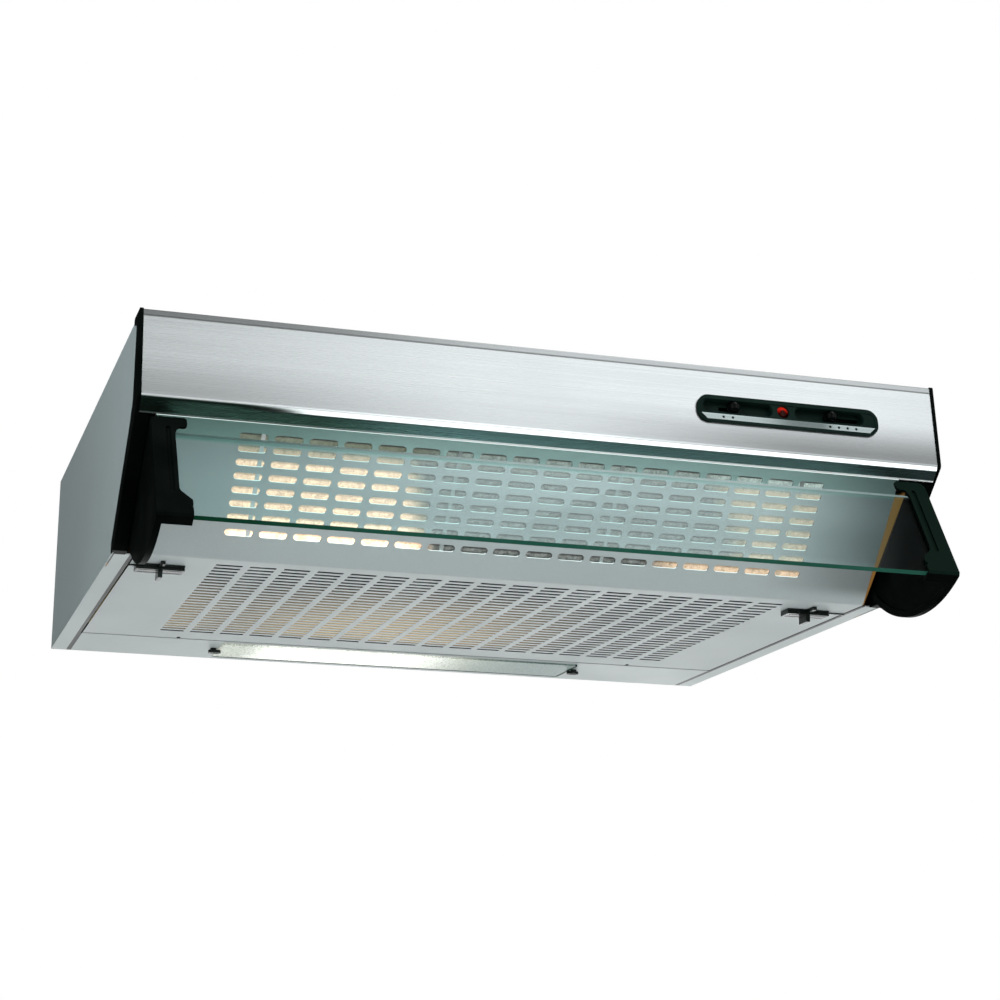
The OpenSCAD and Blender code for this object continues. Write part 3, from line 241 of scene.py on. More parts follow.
def slot_shade(g, c):
    """Painted shade on the grille: the walls of the slots are dark, but for a rim at the outer face and the
    lower wall of a front slot.

    The slope is painted greener and darker under the panel's lip as the lip's shade, darker low and lighter
    high behind the glass as painted shade and light, and darker towards the right arm as the arm's painted
    shadow. The grille's side edges are painted dark as the shade of the gap beside them.
    """
    x, _, z = g.xyz()
    depth, wall, up = wall_depth(g)
    # painted shade on the slots' walls
    dark = g.times(g.span(depth, 0.0001, 0.0005, 0.35, 0.94), g.span(up, *FACING_UP, 1.0, 0.15))
    c = g.mix(g.times(wall, dark), c, (0, 0, 0))
    # painted shade under the panel's lip: greener, and darker most at the left
    lip_shade_tone = g.mix(g.span(x, -0.25, -0.08), (0.58, 0.97, 0.86), (0.82, 1.20, 1.12))
    c = g.toned(c, g.mix(g.span(z, *LIP_ON_PAINT), (1, 1, 1), lip_shade_tone))
    # painted shade and light behind the glass: darker low, lighter high
    middle = g.mix(g.span(z, 0.040, 0.062), (0.84, 0.82, 0.83), (1.25, 1.21, 1.22))
    where = g.times(g.span(x, -0.22, -0.08), g.span(z, 0.024, 0.030))
    c = g.toned(c, g.mix(where, (1, 1, 1), middle))
    # painted shadow of the right arm, and painted shade along the grille's side edges
    end = g.times(g.span(x, 0.18, 0.275, 0.0, 0.42), g.span(z, 0.002, 0.012))
    brink = g.times(g.math("GREATER_THAN", g.math("ABSOLUTE", x), RIM_X - 0.0019), 0.9)
    return g.mix(g.math("MAXIMUM", end, brink), c, (0, 0, 0))


def lamp_near(g):
    """How much of the lamp's light comes down through the grille's floor."""
    x, y, _ = g.xyz()
    beside = g.rest(g.span(g.math("ABSOLUTE", g.math("ADD", x, 0.045)), 0.02, 0.19))
    left = g.span(x, -0.16, -0.23, 0.0, 0.5)
    amount = g.math("ADD", g.math("ADD", g.times(beside, 0.9), 0.06), left)
    ahead = g.times(g.span(y, -0.37, -0.16), g.span(y, -0.130, -0.128, 1.0, 0.0))
    return g.times(amount, ahead, g.span(y, FOLD_Y, FOLD_Y + 0.008))


def slot_glow(g):
    """The lamp's light on the walls of the floor's slots, and the lit lower walls of the front's."""
    z = g.xyz()[2]
    depth, wall, up = wall_depth(g)
    floor_part = g.times(lamp_near(g), g.span(depth, 0.0002, 0.0006, 0.0, 0.68))
    front_part = g.times(g.span(z, *FRONT_BEGINS), g.span(up, *FACING_UP, 0.0, 1.1))
    return g.times(wall, g.math("MAXIMUM", floor_part, front_part))


def slot_light(g):
    """That light is warm in the floor's slots and cool in the front's."""
    return g.mix(g.span(g.xyz()[2], *FRONT_BEGINS), GLOW, (0.86, 1.0, 0.97))


def strap_sides(g):
    """How far a point on the straps is past the left part of the sloping front, and at its warm right end."""
    x, _, z = g.xyz()
    front = g.span(z, 0.008, 0.012)
    warm = g.times(g.span(x, 0.12, 0.16), g.span(z, 0.069, 0.067), front)
    return g.times(front, g.span(x, -0.18, -0.12)), warm


def strap_shade(g, c):
    """Painted light and shade on the straps: pale, but painted grey past the front's left part, out of the
    lamp's light, and brown at its warm end, in the lamp's light.
    """
    past_left, warm = strap_sides(g)
    return g.mix(warm, g.mix(past_left, c, (0.40, 0.45, 0.44)), (0.45, 0.38, 0.28))


def strap_glow(g):
    """The straps are lit a little, but not past the front's left part, and twice that at its warm end."""
    past_left, warm = strap_sides(g)
    return g.math("MULTIPLY_ADD", warm, 0.24, g.math("MULTIPLY_ADD", past_left, -0.12, 0.12))


def strap_light(g):
    """The straps catch the same cool and warm light as the felt around them."""
    return g.mix(strap_sides(g)[1], (0.9, 1.0, 0.95), (1.0, 0.76, 0.50))


def brushed(name, colour, rough=0.27, along=(1.5, 900, 900), tint=None, form=None):
    """Stainless sheet brushed along X, with streaks in colour, gloss and relief."""
    g = Graph(name)
    streak = g.noise(3.0, 5, 0.6, g.stretched(along))
    long = g.noise(1.0, 3, 0.6, g.stretched((0.8, 160, 160)))
    blot = g.noise(7, 3)
    c = g.mix(g.span(streak, 0.3, 0.7), [x * 0.90 for x in colour], [min(x * 1.06, 1) for x in colour])
    c = g.mix(g.span(long, 0.35, 0.65, 0.0, 0.25), c, tint or [x * 0.88 for x in colour])
    metal, lean = 1.0, None
    if form:
        c, metal, lean = form(g, c)
    gloss = g.span(streak, 0.25, 0.75, rough - 0.05, rough + 0.07)
    gloss = g.math("ADD", gloss, g.span(blot, 0.3, 0.7, 0.0, 0.03))
    n = g.bump(streak, 0.10, 0.0002, lean)
    return g.surface(Base_Color=c, Metallic=metal, Roughness=gloss, Normal=n, Anisotropic=0.55)


def front_painted_shading(g, c):
    """The front is painted darker low on its face and above the score line, with a painted dark line at the
    score itself: painted shade. Its lip is painted dark and green, as shade and as the glass's green
    reflection.

    The soft bend's bright band on the lip is a painted highlight, and the hem's edge is a thin pale line,
    painted stronger towards the right as a highlight.
    """
    x, _, z = g.xyz()
    # painted shade: darker low on the face, least so in the middle
    low = g.math("SUBTRACT", g.span(x, -0.28, -0.02, 0.66, 0.92), g.span(x, -0.04, 0.22, 0.0, 0.56))
    face = g.mix(g.span(z, BEND_Z + 0.004, BEND_Z + 0.036), low, (1, 1, 1))
    # painted shade above the score line, and a painted dark line at the score
    face = g.mix(g.span(z, SCORE_Z - 0.0003, SCORE_Z + 0.0003), face, g.span(x, -0.2, 0.0, 0.38, 0.68))
    face = g.mix(g.times(g.math("COMPARE", z, SCORE_Z, 0.0005), 0.55), face, (0, 0, 0))
    # painted shade and a painted green reflection of the glass on the lip
    lip = g.mix(g.span(x, -0.18, -0.06), (0.15, 0.26, 0.20), (0.58, 0.90, 0.86))
    painted_shade_tone = g.mix(g.span(z, BEND_Z - 0.0002, BEND_Z + 0.0002), lip, face)
    # painted highlight: a band at the bottom of the soft bend, where the lip's darkening is lifted
    band = g.times(g.span(z, BEND_Z - 0.0032, BEND_Z - 0.0023), g.span(x, -0.235, -0.165),
                   g.span(z, BEND_Z, BEND_Z + 0.0004, 1.0, 0.0))
    painted_shade_tone = g.mix(band, painted_shade_tone, (1, 1, 1))
    # the hem's pale, dull line, painted stronger towards the right as a highlight
    hem = g.times(g.span(z, HEM_Z + 0.0008, HEM_Z + 0.0003), g.span(x, -0.17, -0.06, 0.2, 1.0))
    # the painted highlight's normal: in the band it is turned to face the front
    nx, ny, nz = g.xyz(g.normal)
    band_y, band_z = -0.9987, -0.05  # the band reflects as if it faced the front
    lean = g.node("CombineXYZ", {
        "X": nx, "Y": g.math("MULTIPLY_ADD", band, g.math("SUBTRACT", band_y, ny), ny),
        "Z": g.math("MULTIPLY_ADD", band, g.math("SUBTRACT", band_z, nz), nz)})
    c = g.mix(hem, g.toned(c, painted_shade_tone), (0.90, 0.95, 0.94))
    return c, g.rest(hem), lean


def strip_painted_reflection(g, c):
    """The marking strip is bright at both ends, with a painted dark reflection right of its middle."""
    low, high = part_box("marking_strip")
    place = g.span(g.xyz()[0], low[0], high[0], 0.0, 1.0, smooth=False)
    # painted dark reflection right of the strip's middle
    painted_dark_reflection = g.times(g.span(place, 0.30, 0.55, 0.0, 0.62), g.span(place, 0.68, 0.80, 1.0, 0.0))
    return g.mix(painted_dark_reflection, c, (0.02, 0.035, 0.03)), 1.0, None


def moulded(name, colour, rough=0.38, grain=0.12, edge=0.0007, scale=900, spec=0.4, front=None):
    """Moulded plastic: a fine spark-eroded grain, rubbed a little smoother in places.

    Where a colour is given for the front, the faces that look that way are painted in it, as a painted
    reflection.
    """
    g = Graph(name)
    cells = g.voronoi(scale)
    rub = g.noise(22, 4)
    c = g.mix(g.span(rub, 0.35, 0.7), colour, [min(v * 1.35 + 0.002, 1) for v in colour])
    if front:
        # painted reflection: the faces that look to the front take the given colour
        c = g.mix(g.math("LESS_THAN", g.xyz(g.normal)[1], -0.6), c, front)
    n = g.bump(g.math("ADD", cells, g.noise(scale * 1.7, 2)), grain, 0.0002, g.edge(edge))
    return g.surface(Base_Color=c, Roughness=g.span(rub, 0.3, 0.75, rough + 0.06, rough - 0.06), Normal=n,
                     Specular_IOR_Level=spec)


def plated(name, colour=(0.62, 0.63, 0.64), rough=0.25):
    """Bright plated steel, clouded a little."""
    g = Graph(name)
    cloud = g.noise(60, 4)
    c = g.mix(g.span(cloud, 0.3, 0.7), colour, [v * 0.85 for v in colour])
    n = g.bump(g.noise(1500, 3), 0.08, 0.0002, g.edge(0.0003))
    gloss = g.span(cloud, 0.3, 0.7, rough - 0.05, rough + 0.1)
    return g.surface(Base_Color=c, Metallic=1.0, Roughness=gloss, Normal=n)


def galvanised(name, colour=(0.56, 0.575, 0.58)):
    """Zinc-coated sheet with a soft spangle."""
    g = Graph(name)
    tone = g.node("RGBToBW", {"Color": g.voronoi(70, out=1)})
    c = g.mix(g.span(tone, 0.1, 0.9), [v * 0.90 for v in colour], [min(v * 1.10, 1) for v in colour])
    n = g.bump(g.noise(500, 3), 0.10, 0.0004, g.edge(0.0004))
    return g.surface(Base_Color=c, Metallic=0.55, Roughness=g.span(tone, 0.0, 1.0, 0.36, 0.52), Normal=n)


def glass():
    """Clear float glass, deep green where one looks into its long edges, which are opaque: the lower edge has
    painted shade at the left, and the upper edge is a painted highlight, a light line that is dark at the
    left.
    """
    g = Graph("visor_glass")
    smear = g.noise(14, 3)
    clear = g.principled(Base_Color=(0.63, 0.82, 0.815), Transmission_Weight=1.0, IOR=1.45,
                         Roughness=g.span(smear, 0.3, 0.8, 0.0, 0.02), Specular_IOR_Level=0.5)
    x, _, z = g.xyz()
    # painted shade: the lower edge's green is darker at the left
    depth = g.mix(g.span(x, -0.27, -0.08), (0.002, 0.040, 0.018), (0.024, 0.115, 0.080))
    depth = g.mix(g.span(g.noise(30, 3), 0.3, 0.7, 0.0, 0.25), depth, (0.004, 0.060, 0.032))
    rim = g.principled(Base_Color=depth, Roughness=0.12, Specular_IOR_Level=0.12)
    outward = (0, math.cos(VISOR_OPEN), math.sin(VISOR_OPEN))
    facing = g.node("VectorMath", {0: g.normal, 1: outward}, out="Value", operation="DOT_PRODUCT")
    edge = g.math("GREATER_THAN", g.math("ABSOLUTE", facing), 0.7)
    # painted highlight: the upper edge is a light line, dark at the left
    pale = g.mix(g.span(x, -0.25, 0.05), (0.16, 0.27, 0.25), (0.95, 1.0, 0.98))
    top = g.principled(Base_Color=pale, Roughness=0.2)
    ends = g.either(g.math("GREATER_THAN", z, 0.03), rim, top)
    return g.show(g.either(edge, clear, ends))


def front_light(g, slope):
    """How strongly the lamp shows through the sloping front: a bright left part and a faint right part."""
    x, _, z = g.xyz()
    left_edge = g.math("MULTIPLY_ADD", z, -0.42, -0.071)
    left = g.rest(g.span(g.math("SUBTRACT", x, left_edge), -0.012, 0.014))
    left = g.times(left, g.span(z, 0.058, 0.074, 1.0, 0.05))
    right_edge = g.math("ADD", g.math("MULTIPLY_ADD", z, -0.7, 0.190), g.span(z, 0.020, 0.027, -0.070, 0.0))
    right = g.times(g.span(g.math("SUBTRACT", x, right_edge), -0.014, 0.016), 0.38,
                    g.span(z, *LIP_ON_FELT, 1.0, 0.35))
    return g.times(g.math("MAXIMUM", left, right), slope, g.span(z, *LOWEST_ROW, 1.78, 1.46))


def row_shadow(g):
    """The shadow that each front slot's upper edge throws on the felt."""
    _, y, z = g.xyz()
    along = g.math("MULTIPLY_ADD", y, -math.cos(SLOPE), FOLD_Y * math.cos(SLOPE))
    along = g.math("MULTIPLY_ADD", z, math.sin(SLOPE), along)
    row = g.math("FRACT", g.math("MULTIPLY_ADD", along, 1 / ROW_PITCH, 0.5 - ROW_FIRST / ROW_PITCH))
    return g.span(row, 0.44, 0.62)


def felt():
    """Grease mat: tangled light fibres, with the lamp's light painted on as a glow where it stands behind.

    The felt also carries painted shade: dark brown on the floor, darker under the panel's lip and under each
    front slot's upper edge. There is a faint painted cool light on the first row under the lip.
    """
    g = Graph("felt_mat")
    x, y, z = g.xyz()
    fibre = g.noise(760, 4, 0.75, g.stretched((1, 1.3, 1.2)), 0.6)
    clump = g.noise(220, 4, 0.6)
    fine = g.math("ADD", g.times(fibre, 0.6), g.times(clump, 0.4))
    slope = g.span(y, -0.392, -0.400)
    under_lip = g.span(z, *LIP_ON_FELT)
    base = g.mix(g.span(fine, 0.36, 0.62), (0.18, 0.185, 0.165), (0.62, 0.64, 0.61))
    # painted shade: darker under the panel's lip, most at the left
    base = g.mix(g.times(under_lip, g.span(x, 0.0, -0.10, 0.2, 0.75)), base, (0.10, 0.10, 0.06))
    # painted shade: the felt on the floor, deep in the casing, is dark brown
    base = g.mix(slope, (0.030, 0.024, 0.018), base)
    lit = front_light(g, slope)
    # the felt's own colour is darkened under the painted glow
    base = g.mix(g.times(g.span(lit, 0.05, 0.4), 0.6), base, (0, 0, 0))
    # painted light: a faint cool glow on the first row under the lip
    first_row_painted_light = g.times(under_lip, g.span(x, -0.10, -0.06, 0.15, 0.24), slope)
    glow = g.math("ADD", g.math("ADD", lit, first_row_painted_light), lamp_near(g))
    glow = g.times(glow, g.span(fine, 0.30, 0.66, 0.58, 1.36))
    shadow = g.times(row_shadow(g), slope)
    base = g.mix(g.times(shadow, 0.80), base, (0, 0, 0))
    # the light shows on the sides that face the slots, and the upper side is plain
    outer = g.math("LESS_THAN", g.xyz(g.normal)[2], 0.05)
    glow = g.times(glow, g.math("MULTIPLY_ADD", shadow, -0.42, 1.0), outer)
    base = g.mix(outer, (0.40, 0.40, 0.37), base)
    strong = g.mix(g.span(z, *LOWEST_ROW), (1.0, 0.74, 0.50), (1.0, 0.60, 0.40))
    warm = g.mix(g.span(glow, 0.2, 1.0), (1.0, 0.72, 0.44), strong)
    cool = g.mix(g.span(x, -0.10, -0.06), (0.64, 0.74, 0.54), (0.74, 0.95, 0.88))
    return g.surface(Base_Color=base, Roughness=0.95, Normal=g.bump(fine, 0.9, 0.003), Sheen_Weight=0.35,
                     Sheen_Roughness=0.5, Emission_Color=g.mix(g.span(z, *LIP_ON_PAINT), warm, cool),
                     Emission_Strength=glow)


def diffuser():
    """Milky, pebbled lamp cover with the bulb's hot spot behind it, and dark green in a band along its rear
    edge and at its right end.
    """
    g = Graph("lamp_diffuser")
    x, y, _ = g.xyz()
    pebble = g.voronoi(620)
    hot = g.times(g.span(x, -0.145, -0.105), g.span(x, -0.015, 0.075, 1.0, 0.0))
    glow = g.math("ADD", g.times(hot, 0.75), g.span(x, -0.02, 0.12, 0.40, 0.0))
    glow = g.times(glow, g.span(pebble, 0.0, 0.9, 1.25, 0.60))
    c = g.mix(g.span(pebble, 0.1, 0.8), (0.31, 0.40, 0.37), (0.19, 0.27, 0.25))
    tone = g.mix(g.span(glow, 0.1, 0.6), (1.0, 0.96, 0.74), (1.0, 0.98, 0.88))
    n = g.bump(pebble, 0.5, 0.0006)
    face = g.principled(Base_Color=c, Roughness=0.4, Normal=n, Specular_IOR_Level=0.2, Emission_Color=tone,
                        Emission_Strength=glow)
    cut = g.principled(Base_Color=(0.006, 0.035, 0.020), Roughness=0.4, Specular_IOR_Level=0.05)
    low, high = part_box("lamp_cover")
    rear = g.math("GREATER_THAN", y, high[1] - 0.0045)
    end = g.math("GREATER_THAN", x, high[0] - 0.003)
    return g.show(g.either(g.math("MAXIMUM", rear, end), face, cut))


def lens():
    """Red lens, with a painted glow on the upper part of its ring, painted shade on its lower part, and a
    dark middle.
    """
    g = Graph("red_lens")
    low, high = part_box("indicator_lens")
    x, _, z = g.xyz()
    facet = g.voronoi(900)
    height = g.span(z, low[2], high[2], 0.0, 1.0, smooth=False)
    c = g.mix(g.span(facet, 0.0, 0.8), (0.40, 0.004, 0.003), (0.16, 0.001, 0.001))
    # painted shade on the lens's lower part
    c = g.mix(g.span(height, 0.35, 0.75), (0.020, 0.0, 0.0), c)
    across = g.span(x, low[0], high[0], -1.0, 1.0, smooth=False)
    upward = g.math("MULTIPLY_ADD", height, 2.0, -1.0)
    squares = [g.math("POWER", g.math("ABSOLUTE", v), 2.0) for v in (across, upward)]
    ring = g.span(g.math("ADD", *squares), 0.10, 0.40)
    c = g.mix(ring, (0.030, 0.004, 0.002), c)
    n = g.bump(facet, 0.25, 0.0003)
    # painted glow on the upper part of the ring
    return g.surface(Base_Color=c, Roughness=0.10, Normal=n, Specular_IOR_Level=0.06,
                     Emission_Color=(1.0, 0.04, 0.02),
                     Emission_Strength=g.times(ring, g.span(height, 0.45, 0.95, 0.0, 0.45)))


def frosted_bulb():
    """A shining glass bulb with a metal cap."""
    g = Graph("frosted_bulb")
    shining = g.span(g.xyz()[0], -0.0705, -0.0695)  # 0 on the cap, 1 on the glass
    grit = g.noise(900, 3)
    c = g.mix(shining, (0.70, 0.70, 0.68), (1.0, 0.95, 0.85))
    n = g.bump(grit, 0.1, 0.0002)
    return g.surface(Base_Color=c, Roughness=0.4, Metallic=g.rest(shining), Normal=n,
                     Emission_Color=(1.0, 0.88, 0.66),
                     Emission_Strength=g.times(shining, g.span(grit, 0.2, 0.8, 2.6, 3.4)))


BLACK = (0.0008, 0.0019, 0.0014)
MATERIALS = {
    "paint": painted("casing_paint", (0.49, 0.548, 0.545), shade=rim_shade, glow=wall_glow, lit=TAN),
    "grille": painted("grille_paint", (0.49, 0.543, 0.543), 0.45, shade=slot_shade, glow=slot_glow,
                      lit=slot_light),
    "zinc": galvanised("zinc_sheet"),
    "steel": brushed("brushed_stainless", (0.68, 0.705, 0.715), form=front_painted_shading),
    "black": moulded("black_moulding", BLACK, 0.45, spec=0.014),
    # the right arm alone: its forward faces get a painted dark green reflection, and the left arm stays plain
    # black
    "arm": moulded("arm_moulding", BLACK, 0.45, spec=0.014, front=(0.0045, 0.0125, 0.0085)),
    "bezel": moulded("bezel_moulding", (0.0035, 0.0125, 0.0095), 0.34, 0.10, 0.0004, 1400, spec=0.04),
    "latch": moulded("latch_moulding", (0.004, 0.008, 0.006), 0.25, 0.08, 0.0005, spec=0.25),
    "knob": moulded("knob_moulding", (0.0012, 0.002, 0.002), 0.16, 0.02, 0.0006, spec=0.10),
    "drum": moulded("drum_moulding", (0.10, 0.105, 0.11), 0.45),
    "wheel": moulded("wheel_moulding", (0.07, 0.075, 0.08), 0.42),
    "collar": moulded("collar_moulding", (0.035, 0.037, 0.04), 0.42),
    "white": moulded("white_moulding", (0.74, 0.74, 0.71), 0.4),
    "ceramic": moulded("socket_ceramic", (0.78, 0.77, 0.73), 0.25, 0.05),
    "enamel": painted("white_enamel", (0.78, 0.78, 0.76), 0.25, 0.02),
    "motor": painted("motor_paint", (0.045, 0.05, 0.055), 0.4, 0.1),
    "plate": plated("bright_zinc"),
    "strap": painted("strap_paint", (0.60, 0.63, 0.62), 0.5, shade=strap_shade, glow=strap_glow,
                     lit=strap_light),
    "can": brushed("drawn_can", (0.74, 0.75, 0.76), 0.3, (300, 6, 300)),
    "strip": brushed("bright_strip", (0.34, 0.39, 0.39), 0.24, (14, 500, 1100), (0.07, 0.11, 0.10),
                     strip_painted_reflection),
    "glass": glass(), "felt": felt(), "diffuser": diffuser(), "lens": lens(), "bulb": frosted_bulb(),
}
WEARS = {
    "side_panel_left": "paint", "side_panel_right": "paint", "back_panel": "zinc", "top_panel": "zinc",
    "front_panel": "steel", "front_rail": "zinc", "cheek_left": "black", "cheek_right": "black",
    "rear_tray": "paint", "reflector": "enamel", "lamp_cover": "diffuser", "cover_clip_left": "latch",
    "cover_clip_right": "latch", "lamp_socket": "ceramic", "bulb": "bulb", "grille": "grille",
    "mat_straps": "strap", "filter_mat": "felt", "hinge_pins": "strap", "latch_left": "latch",
    "latch_right": "latch", "visor_glass": "glass", "visor_arm_left": "black", "visor_arm_right": "arm",
    "visor_pins": "plate", "control_bezel": "bezel", "marking_strip": "strip", "light_slider": "knob",
    "fan_slider": "knob", "indicator_lens": "lens", "light_switch": "latch", "fan_switch": "latch",
    "fan_housing": "drum", "motor": "motor", "motor_bracket": "plate", "fan_shaft": "plate",
    "impeller_left": "wheel", "impeller_right": "wheel", "duct_collar": "collar", "flap_front": "collar",
    "flap_rear": "collar", "flap_pin": "plate", "terminal_box": "white", "cable_gland": "black",
    "capacitor": "can", "top_screws": "plate", "collar_screws": "plate",
}
for name, key in WEARS.items():
    slots = NODES[name].data.materials
    if len(slots) == 0:
        slots.append(MATERIALS[key])
    for i in range(len(slots)):
        slots[i] = MATERIALS[key]


# ---------------------------------------------------------------- felt mat
def link(name, mesh, material):
    """A new object of the mesh, in that material."""
    o = bpy.data.objects.new(name, mesh)
    bpy.context.collection.objects.link(o)
    mesh.materials.append(material)
    return o


def build_mat():
    """One felt slab bent over the grille's fold, a little uneven in thickness, with rounded edges."""
    low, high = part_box("filter_mat")
    rear, width = high[1], high[0] - low[0]
    under, thick = 0.0024, 0.0056  # height over the grille's outer face, and thickness
    bend = 0.006  # how far the rounded fold reaches to both sides
    floor_len, slope_len = rear - FOLD_Y, 0.0985  # from the fold to the rear edge and up the front
    total = floor_len + slope_len
    lower_wave, upper_wave = 0.00012, 0.0007  # how uneven the two sides are
    across, along = 90, 92  # faces over the width and over the length
    rim = 2.0  # rows of faces in the rounded edge
    rng = random.Random(7)
    waves = [(rng.uniform(20, 90), rng.uniform(20, 90), rng.uniform(0, 6.28)) for _ in range(14)]

    def place(s, off):
        if s < floor_len - bend:
            return Vector((0, rear - s, under + off))
        if s > floor_len + bend:
            t = s - floor_len
            n = Vector((0, math.sin(SLOPE), math.cos(SLOPE)))
            return Vector((0, FOLD_Y - t * math.cos(SLOPE), t * math.sin(SLOPE))) + n * (under + off)
        f = (s - floor_len + bend) / (2 * bend)
        a = place(floor_len - bend - 0.0001, off)
        b = place(floor_len + bend + 0.0001, off)
        mid = Vector((0, FOLD_Y, 0)) + Vector((0, math.sin(SLOPE / 2), math.cos(SLOPE / 2))) * (
            (under + off) / math.cos(SLOPE / 2))
        return a * (1 - f) ** 2 + mid * 2 * f * (1 - f) + b * f * f

    bm = bmesh.new()
    rows = []
    for j in range(along + 1):
        s = total * j / along
        ring = []
        for upper in (False, True):
            for i in range(across + 1):
                x = -width / 2 + width * i / across
                inward = min(min(i, across - i) / rim, min(j, along - j) / rim, 1.0)
                soft = math.sqrt(max(0.0, 1 - (1 - inward) ** 2)) * 0.5 + 0.5
                w = sum(math.sin(a * x * 2 + b * s * 2 + c) for a, b, c in waves) / len(waves)
                if upper:
                    off = thick * 0.5 * (1 + soft) + upper_wave * w - upper_wave
                else:
                    off = thick * 0.5 * (1 - soft) + lower_wave * w
                p = place(s, off)
                ring.append(bm.verts.new((x, p.y, p.z)))
        rows.append(ring)
    top = across + 1  # where a ring's upper side begins
    for a, b in zip(rows, rows[1:]):
        for i in range(across):
            bm.faces.new((a[i], a[i + 1], b[i + 1], b[i]))
            bm.faces.new((a[top + i], b[top + i], b[top + i + 1], a[top + i + 1]))
        bm.faces.new((a[0], b[0], b[top], a[top]))
        bm.faces.new((a[across], a[top + across], b[top + across], b[across]))
    for r, flip in ((rows[0], False), (rows[-1], True)):
        for i in range(across):
            q = (r[i], r[top + i], r[top + i + 1], r[i + 1])
            bm.faces.new(q[::-1] if flip else q)
    bmesh.ops.recalc_face_normals(bm, faces=bm.faces)
    for f in bm.faces:
        f.smooth = True
    mesh = bpy.data.meshes.new("grease_mat")
    bm.to_mesh(mesh)
    bm.free()
    return link("grease_mat", mesh, MATERIALS["felt"])


mat = build_mat()
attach(mat, "grille_panel")
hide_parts("filter_mat")


# ---------------------------------------------------------------- studio
def area(name, place, aim, size, power, colour=(1, 1, 1)):
    """A soft lamp that neither the camera nor a glossy surface sees."""
    data = bpy.data.lights.new(name, "AREA")
    data.shape = "RECTANGLE"
    data.size, data.size_y = size
    data.energy = power
    data.color = colour
    o = bpy.data.objects.new(name, data)
    bpy.context.collection.objects.link(o)
    o.location = place
    o.rotation_euler = (Vector(aim) - Vector(place)).to_track_quat("-Z", "Y").to_euler()
    o.visible_camera = False
    o.visible_glossy = False


area("softbox_front", (0.45, -1.5, 1.05), (0.1, -0.45, 0.1), (1.3, 0.8), 6)
area("softbox_left", (-0.9, -1.2, 0.6), (-0.3, -0.40, 0.14), (0.4, 0.4), 9.2, (0.88, 1.0, 1.03))
area("softbox_rear_low", (-0.1, 0.3, -0.95), (-0.1, -0.15, 0.0), (1.2, 0.9), 3.9)
area("softbox_front_low", (-0.1, -1.3, -0.8), (0.0, -0.38, 0.0), (0.8, 0.6), 3.2)
area("softbox_right_low", (1.1, -0.85, -0.45), (0.0, -0.40, 0.03), (0.4, 0.4), 1.3)
area("softbox_top", (0.1, -0.2, 1.5), (0.0, -0.25, 0.1), (1.4, 1.2), 6)


def floor_white():
    """A pale floor that keeps the shadow, runs out to white far off, and hides nothing from below."""
    g = Graph("floor_white")
    tint = g.mix(g.span(g.noise(2.0, 2), 0.3, 0.7), (0.80, 0.80, 0.80), (0.82, 0.82, 0.82))
    pale = g.principled(Base_Color=tint, Roughness=0.9)
    white = g.node("Emission", {"Strength": 1.0})
    seen = g.node("LightPath", out="Is Camera Ray")
    far = g.node("VectorMath", {0: g.coord}, out="Value", operation="LENGTH")
    lit = g.times(seen, g.span(far, 0.5, 2.6, 0.68, 1.0))
    below = g.times(seen, g.node("NewGeometry", out="Backfacing"))
    return g.show(g.either(below, g.either(lit, pale, white), g.node("BsdfTransparent")))


floor_mesh = bpy.data.meshes.new("floor")
floor_mesh.from_pydata([(-6, -6, 0), (6, -6, 0), (6, 6, 0), (-6, 6, 0)], [], [(0, 1, 2, 3)])
floor = link("floor", floor_mesh, floor_white())
floor.location = (0, 0, -1.1)
floor.visible_glossy = False


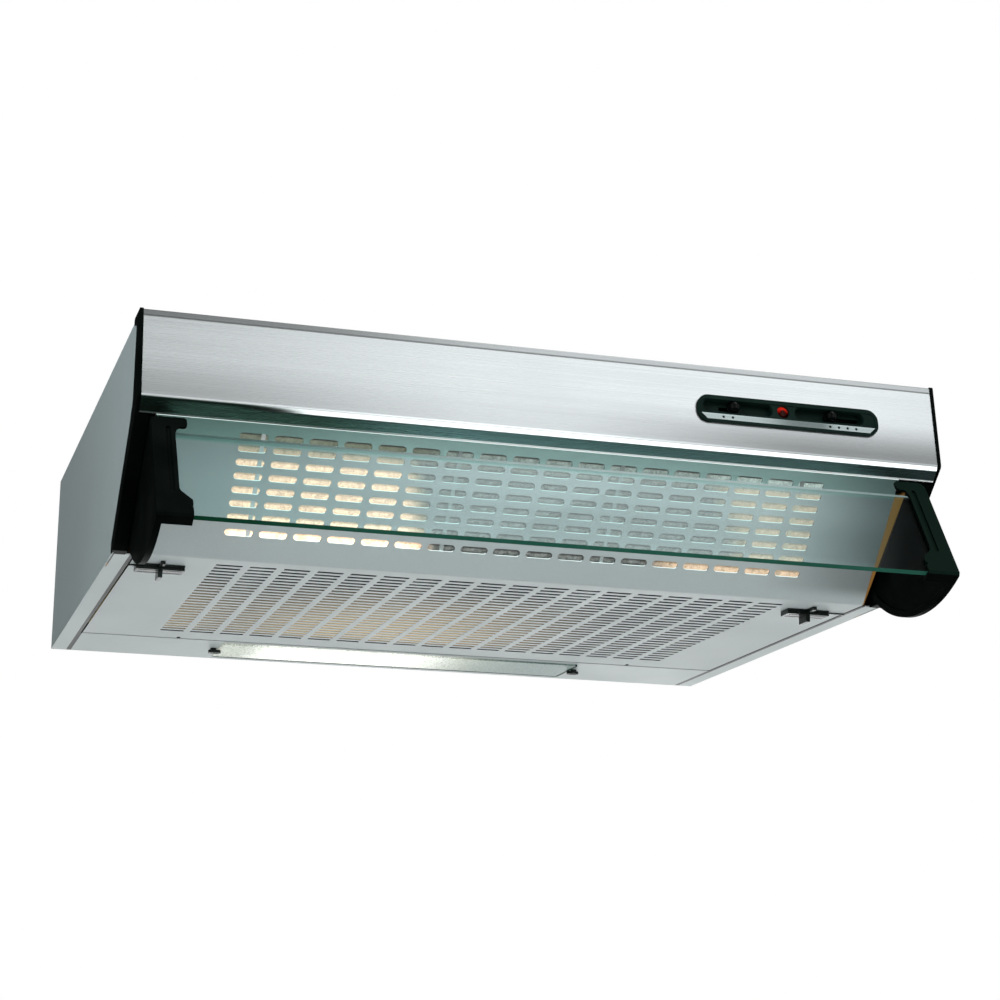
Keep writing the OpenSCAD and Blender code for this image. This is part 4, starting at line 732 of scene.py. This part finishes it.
def studio_world():
    """White to the eye, a plain grey as light, and to glossy things a room brightest ahead and dark below."""
    world = bpy.data.worlds.new("studio")
    bpy.context.scene.world = world
    g = Graph("studio", world)
    path = g.t.nodes.new("ShaderNodeLightPath").outputs
    x, y, z = g.xyz(g.direction)
    room = g.span(z, -0.45, -0.10, 0.12, 2.6)
    room = g.math("SUBTRACT", room, g.span(z, 0.18, 0.40, 0.0, 1.35))
    room = g.math("SUBTRACT", room, g.span(z, 0.60, 0.95, 0.0, 0.25))
    side = g.math("ADD", g.span(x, 0.09, 0.31, 0.22, 1.64, smooth=False), g.span(x, 0.31, 0.37, 0.0, 0.34))
    side = g.math("SUBTRACT", side, g.span(x, 0.38, 0.48, 0.0, 1.3))
    side = g.times(side, g.span(x, -0.08, 0.06, 0.15, 1.0))
    side = g.math("MULTIPLY_ADD", g.span(z, -0.06, -0.18), g.math("SUBTRACT", 0.85, side), side)
    ahead = g.span(y, 0.15, -0.15)
    dim_low_ahead = g.times(ahead, g.span(z, -0.05, -0.12, 0.0, 0.6))
    dim_high_behind = g.times(g.span(y, 0.0, 0.3), g.span(z, 0.0, 0.05, 0.0, 0.72))
    room = g.times(room, side, g.rest(dim_low_ahead), g.rest(dim_high_behind),
                   g.span(x, 0.46, 0.60, 1.0, 0.5))
    fill = g.times(ahead, g.span(x, -0.28, -0.50, 0.0, 0.85), g.span(z, -0.5, -0.2))
    room = g.math("MAXIMUM", room, fill)
    sky = g.math("ADD", g.span(x, 0.14, 0.29, 0.2, 2.2), g.span(x, 0.27, 0.36, 0.0, 0.2))
    sky = g.math("SUBTRACT", sky, g.span(x, 0.385, 0.45, 0.0, 2.35))
    room = g.math("MULTIPLY_ADD", g.span(z, 0.80, 0.88), g.math("SUBTRACT", sky, room), room)
    room = g.node("Background", {"Color": (0.97, 1.0, 1.0), "Strength": room})
    light = g.node("Background", {"Color": (1, 1, 1), "Strength": g.span(x, -0.7, 0.3, 0.09, 0.46)})
    white = g.node("Background", {"Color": (1, 1, 1), "Strength": 1.0})
    through = path["Is Transmission Ray"]
    eye = g.math("MAXIMUM", path["Is Camera Ray"], g.times(through, g.math("LESS_THAN", z, 0.7)))
    mirror = g.math("MAXIMUM", path["Is Glossy Ray"], through)
    g.show(g.either(eye, g.either(mirror, light, room), white))


studio_world()
